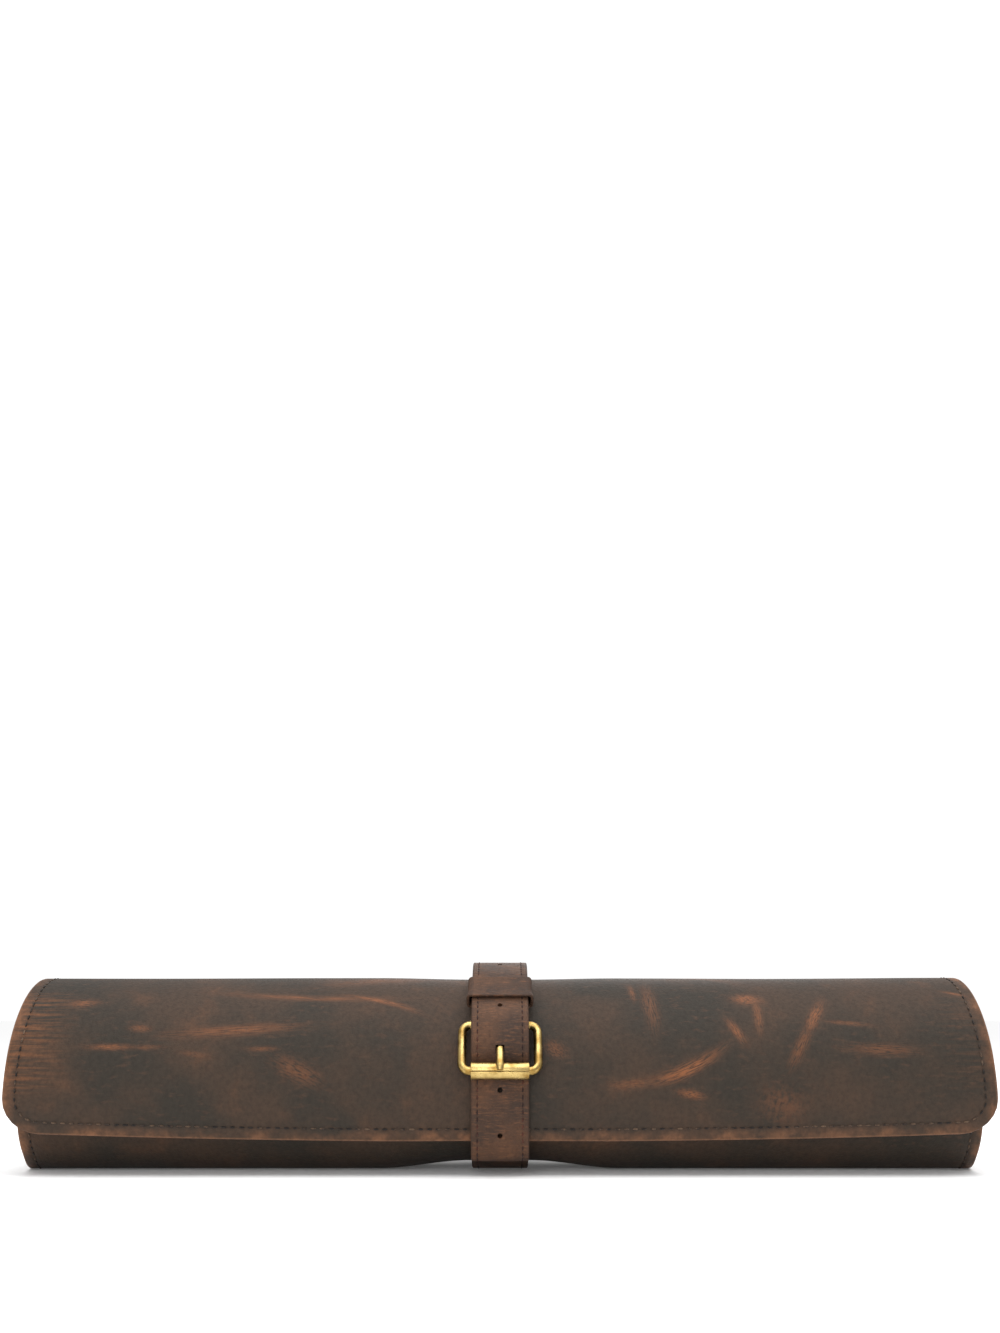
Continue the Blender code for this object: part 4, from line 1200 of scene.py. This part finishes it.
# %% The keeper
KEEPER_CORNER = 0.0022
KEEPER_HOLLOW = 0.00045
KEEPER_FLARE = 0.0006
KEEPER_RIM = 0.00045
KEEPER_CUTS_ACROSS = 0.0008
KEEPER_CUTS_ALONG = 0.0015


def make_keeper():
    """The loop: rounded corners, raised edges, flared a little at its lower side."""
    low, high = UNDER_KEEPER + GAP, TOP_LAYER + STRAP_LEATHER / 2 + GAP + KEEPER_LEATHER
    side = STRAP_WIDTH / 2 + 2 * GAP + KEEPER_LEATHER
    edge = KEEPER_WIDTH / 2
    loop = blank((KEEPER_PLACE - edge, KEEPER_PLACE + edge), (-side, side), (-high, -low))
    ends = [face for face in loop.faces if abs(face.normal.x) > 0.9]
    bmesh.ops.delete(loop, geom=ends, context='FACES_ONLY')
    rounds = [one for one in loop.edges if abs(one.verts[0].co.x - one.verts[1].co.x) > edge]
    round_edges(loop, rounds, KEEPER_CORNER, 6)
    bmesh.ops.solidify(loop, geom=loop.faces[:], thickness=KEEPER_LEATHER)
    ends = [face for face in loop.faces if abs(face.normal.x) > 0.9]
    rims = [one for one in loop.edges if abs(one.verts[0].co.x - one.verts[1].co.x) < 1e-6
            and len([face for face in one.link_faces if face in ends]) == 1]
    round_edges(loop, rims, KEEPER_RIM, 3)
    cut_lines(loop, even_lines(KEEPER_PLACE - edge, KEEPER_PLACE + edge, KEEPER_CUTS_ACROSS), axis=0)
    cut_lines(loop, even_lines(-side, side, KEEPER_CUTS_ALONG), axis=1)
    remember_cut(loop)
    middle = -(low + high) / 2
    for vert in loop.verts:
        across, along, depth = vert.co
        share = (across - KEEPER_PLACE) / edge
        hollow = KEEPER_HOLLOW * (1 - share ** 2) if depth < middle else 0.0
        flare = KEEPER_FLARE * ease((-share - 0.3) / 0.7)
        along *= 1 + flare / side
        lift = hollow - (flare if depth < middle else 0.0)
        vert.co = rolled(across, 0.0, depth + lift) + Vector((along, 0, 0))
    return finish_piece("keeper_loop", loop, STRAP, ("keeper",), sharp=60)


make_keeper()

# %% [markdown]
# The buckle is bent brass wire with a loose roller and a prong. A tube along a line could be a curve with a
# bevel, but circles bridged one to the next stay ordinary mesh, and each circle may have its own size, which
# the prong's taper needs. The roller is sheet brass rolled shut, so a fine seam runs along it.

# %% The buckle
BUCKLE_CORNER = 0.0041
ROLLER_WALL = 0.0017
SEAM_OPENING = 5
TUBE_SIDES = 20
ROLLER_STEPS = 48
ROLLER_RIM = 0.00025
PRONG_END = 0.7


def tube(shape, points, widths, heights, closed):
    """Ovals bridged along a line of points; widths lie along X, heights across the line."""
    rings = []
    count = len(points)
    for i, point in enumerate(points):
        before = points[(i - 1) % count] if closed or i else point
        after = points[(i + 1) % count] if closed or i < count - 1 else point
        way = (after - before).normalized()
        across = Vector((0, -way.z, way.y)) if abs(way.x) < 0.99 else Vector((0, -1, 0))
        across = (across - way * across.dot(way)).normalized()
        flat = way.cross(across).normalized()
        matrix = Matrix((across, flat, way)).transposed().to_4x4()
        matrix = Matrix.Translation(point) @ matrix @ Matrix.Diagonal((heights[i], widths[i], 1.0, 1.0))
        ring = bmesh.ops.create_circle(shape, segments=TUBE_SIDES, radius=0.5, matrix=matrix)["verts"]
        rings.append(list({edge for vert in ring for edge in vert.link_edges}))
    pairs = list(zip(rings, rings[1:])) + ([(rings[-1], rings[0])] if closed else [])
    for first, second in pairs:
        bmesh.ops.bridge_loops(shape, edges=first + second)
    if not closed:
        bmesh.ops.holes_fill(shape, edges=rings[0] + rings[-1])


def frame_points():
    """The frame's middle line: a rectangle with rounded corners, through the bar and the roller."""
    bar, roller = above(BAR_PLACE, BAR_HEIGHT), above(ROLLER_PLACE, ROLLER_HEIGHT)
    reach = (roller - bar).length
    way = (roller - bar).normalized()
    half = BUCKLE_WIDTH / 2 - BAR_RADIUS
    points = []
    for side, centre, start in ((1, BUCKLE_CORNER, -90), (1, reach - BUCKLE_CORNER, 0),
                                (-1, reach - BUCKLE_CORNER, 90), (-1, BUCKLE_CORNER, 180)):
        for angle in range(start, start + 91, 10):
            place = bar + way * (centre + BUCKLE_CORNER * math.sin(math.radians(angle)))
            along = side * (half - BUCKLE_CORNER) + BUCKLE_CORNER * math.cos(math.radians(angle))
            points.append(Vector((along, place.x, place.y)))
    return points


def make_frame():
    """The bent wire."""
    wire = bmesh.new()
    points = frame_points()
    sizes = [BUCKLE_WIRE] * len(points)
    tube(wire, points, sizes, sizes, closed=True)
    bmesh.ops.recalc_face_normals(wire, faces=wire.faces[:])
    return finish_piece("brass_frame", wire, BRASS, ("buckle_frame",))


def make_roller():
    """Rolled sheet brass: a tube whose two edges meet in a seam that faces outwards."""
    roller = above(ROLLER_PLACE, ROLLER_HEIGHT)
    half = STRAP_WIDTH / 2
    shell = bmesh.new()
    inner, outer = ROLLER_RADIUS - ROLLER_WALL, ROLLER_RADIUS
    wall = bmesh.ops.create_grid(shell, x_segments=1, y_segments=1, size=0.5)["verts"]
    for vert in wall:
        radius = inner + (vert.co.x + 0.5) * (outer - inner)
        vert.co = Vector((vert.co.y * 2 * half, roller.x - radius, roller.y))
    seam_half = math.radians(SEAM_OPENING / 2)
    centre = (0, roller.x, roller.y)
    bmesh.ops.rotate(shell, verts=wall, cent=centre, matrix=Matrix.Rotation(seam_half, 3, 'X'))
    bmesh.ops.spin(shell, geom=shell.faces[:], cent=centre, axis=(1, 0, 0),
                   angle=2 * (math.pi - seam_half), steps=ROLLER_STEPS)
    bmesh.ops.recalc_face_normals(shell, faces=shell.faces[:])
    rims = [edge for edge in shell.edges if len(edge.link_faces) == 2 and edge.calc_face_angle() > 1.0]
    round_edges(shell, rims, ROLLER_RIM, 2)
    return finish_piece("brass_roller", shell, BRASS, ("buckle_roller",), sharp=50)


def make_prong():
    """The prong: a flattened eye round the bar, then a rounded arm that thins towards its end."""
    eye = BAR_RADIUS + GAP + PRONG_EYE / 2
    around = [bar_point(angle, eye) for angle in range(PRONG_EYE_START, PRONG_EYE_END, -BEND_STEP)]
    arm = prong_arm()
    eased = [arm[0].lerp(arm[1], share / 6) for share in range(7)] + arm[2:]
    points = [Vector((0, point.x, point.y)) for point in around + eased]
    thick = [PRONG_EYE] * len(around) + [PRONG_EYE + (PRONG_THICKNESS - PRONG_EYE) * min(1, i / 4)
                                         for i in range(len(eased))]
    wide = [PRONG_WIDTH] * len(points)
    wide[-1], thick[-1] = PRONG_WIDTH * PRONG_END, PRONG_THICKNESS * PRONG_END
    prong = bmesh.new()
    tube(prong, points, wide, thick, closed=False)
    bmesh.ops.recalc_face_normals(prong, faces=prong.faces[:])
    return finish_piece("brass_prong", prong, BRASS, ("buckle_prong",), sharp=60)


make_frame()
make_roller()
make_prong()

# %% [markdown]
# The floor is a plain pale sheet, and the light is a white studio with a wide soft lamp overhead and weaker
# ones in front and behind. The photograph has hardly any shadow but a dark line under the roll, so the lamps
# are large. Leather looks right under an even white sky, but brass would look flat, because it shows what
# surrounds it. So the sky is darker towards the horizon, and only the camera sees it plain white.

# %% Floor and light
FLOOR_SIZE = 60.0
FLOOR_GLOW = 0.06
STUDIO_LOW = 0.10
STUDIO_HIGH = 1.25
STUDIO_SEEN = 1.05
STUDIO_RISE = (-0.1, 0.9)
WHITE = (1.0, 1.0, 1.0, 1.0)
PALE = (0.94, 0.94, 0.94, 1.0)
LAMP_TARGET = Vector((0, 0, 0.05))
LAMPS = [  # name, place, size, watts
    ("overhead", (0.1, -0.3, 1.7), 1.9, 30.0),
    ("front", (-0.3, -1.9, 0.7), 0.9, 12.0),
    ("back", (0.2, 1.9, 0.9), 0.9, 9.0),
]


def make_floor():
    """The floor and its pale finish."""
    shape = bmesh.new()
    bmesh.ops.create_grid(shape, x_segments=1, y_segments=1, size=FLOOR_SIZE / 2)
    mesh = bpy.data.meshes.new("floor")
    shape.to_mesh(mesh)
    shape.free()
    floor = bpy.data.objects.new("floor", mesh)
    recipe = Recipe("pale_floor", Roughness=0.9, Specular_IOR_Level=0.1, Base_Color=PALE,
                    Emission_Color=WHITE, Emission_Strength=FLOOR_GLOW)
    mesh.materials.append(recipe.material)
    bpy.context.scene.collection.objects.link(floor)


def make_lamp(name, place, size, watts):
    """One soft square lamp, turned towards the roll."""
    light = bpy.data.lights.new(name, 'AREA')
    light.energy = watts
    light.size = size
    lamp = bpy.data.objects.new(name, light)
    lamp.location = place
    lamp.rotation_euler = (LAMP_TARGET - Vector(place)).to_track_quat('-Z', 'Y').to_euler()
    bpy.context.scene.collection.objects.link(lamp)


def make_studio():
    """A world that is white to the camera and graded, brighter above, to the roll."""
    studio = bpy.data.worlds.new("studio")
    studio.use_nodes = True
    tree = studio.node_tree
    graded = tree.nodes["Background"]
    white = tree.nodes.new("ShaderNodeBackground")
    white.inputs["Strength"].default_value = STUDIO_SEEN
    seen = tree.nodes.new("ShaderNodeLightPath")
    mix = tree.nodes.new("ShaderNodeMixShader")
    place = tree.nodes.new("ShaderNodeTexCoord")
    parts = tree.nodes.new("ShaderNodeSeparateXYZ")
    rise = tree.nodes.new("ShaderNodeMapRange")
    span = {"From Min": STUDIO_RISE[0], "From Max": STUDIO_RISE[1],
            "To Min": STUDIO_LOW, "To Max": STUDIO_HIGH}
    for socket, value in span.items():
        rise.inputs[socket].default_value = value
    links = ((place.outputs["Generated"], parts.inputs[0]), (parts.outputs["Z"], rise.inputs["Value"]),
             (rise.outputs[0], graded.inputs["Strength"]), (seen.outputs["Is Camera Ray"], mix.inputs[0]),
             (graded.outputs[0], mix.inputs[1]), (white.outputs[0], mix.inputs[2]),
             (mix.outputs[0], tree.nodes["World Output"].inputs["Surface"]))
    for start, end in links:
        tree.links.new(start, end)
    graded.inputs["Color"].default_value = WHITE
    white.inputs["Color"].default_value = WHITE
    bpy.context.scene.world = studio


make_floor()
for row in LAMPS:
    make_lamp(*row)
make_studio()
bpy.context.scene.view_settings.view_transform = 'Standard'
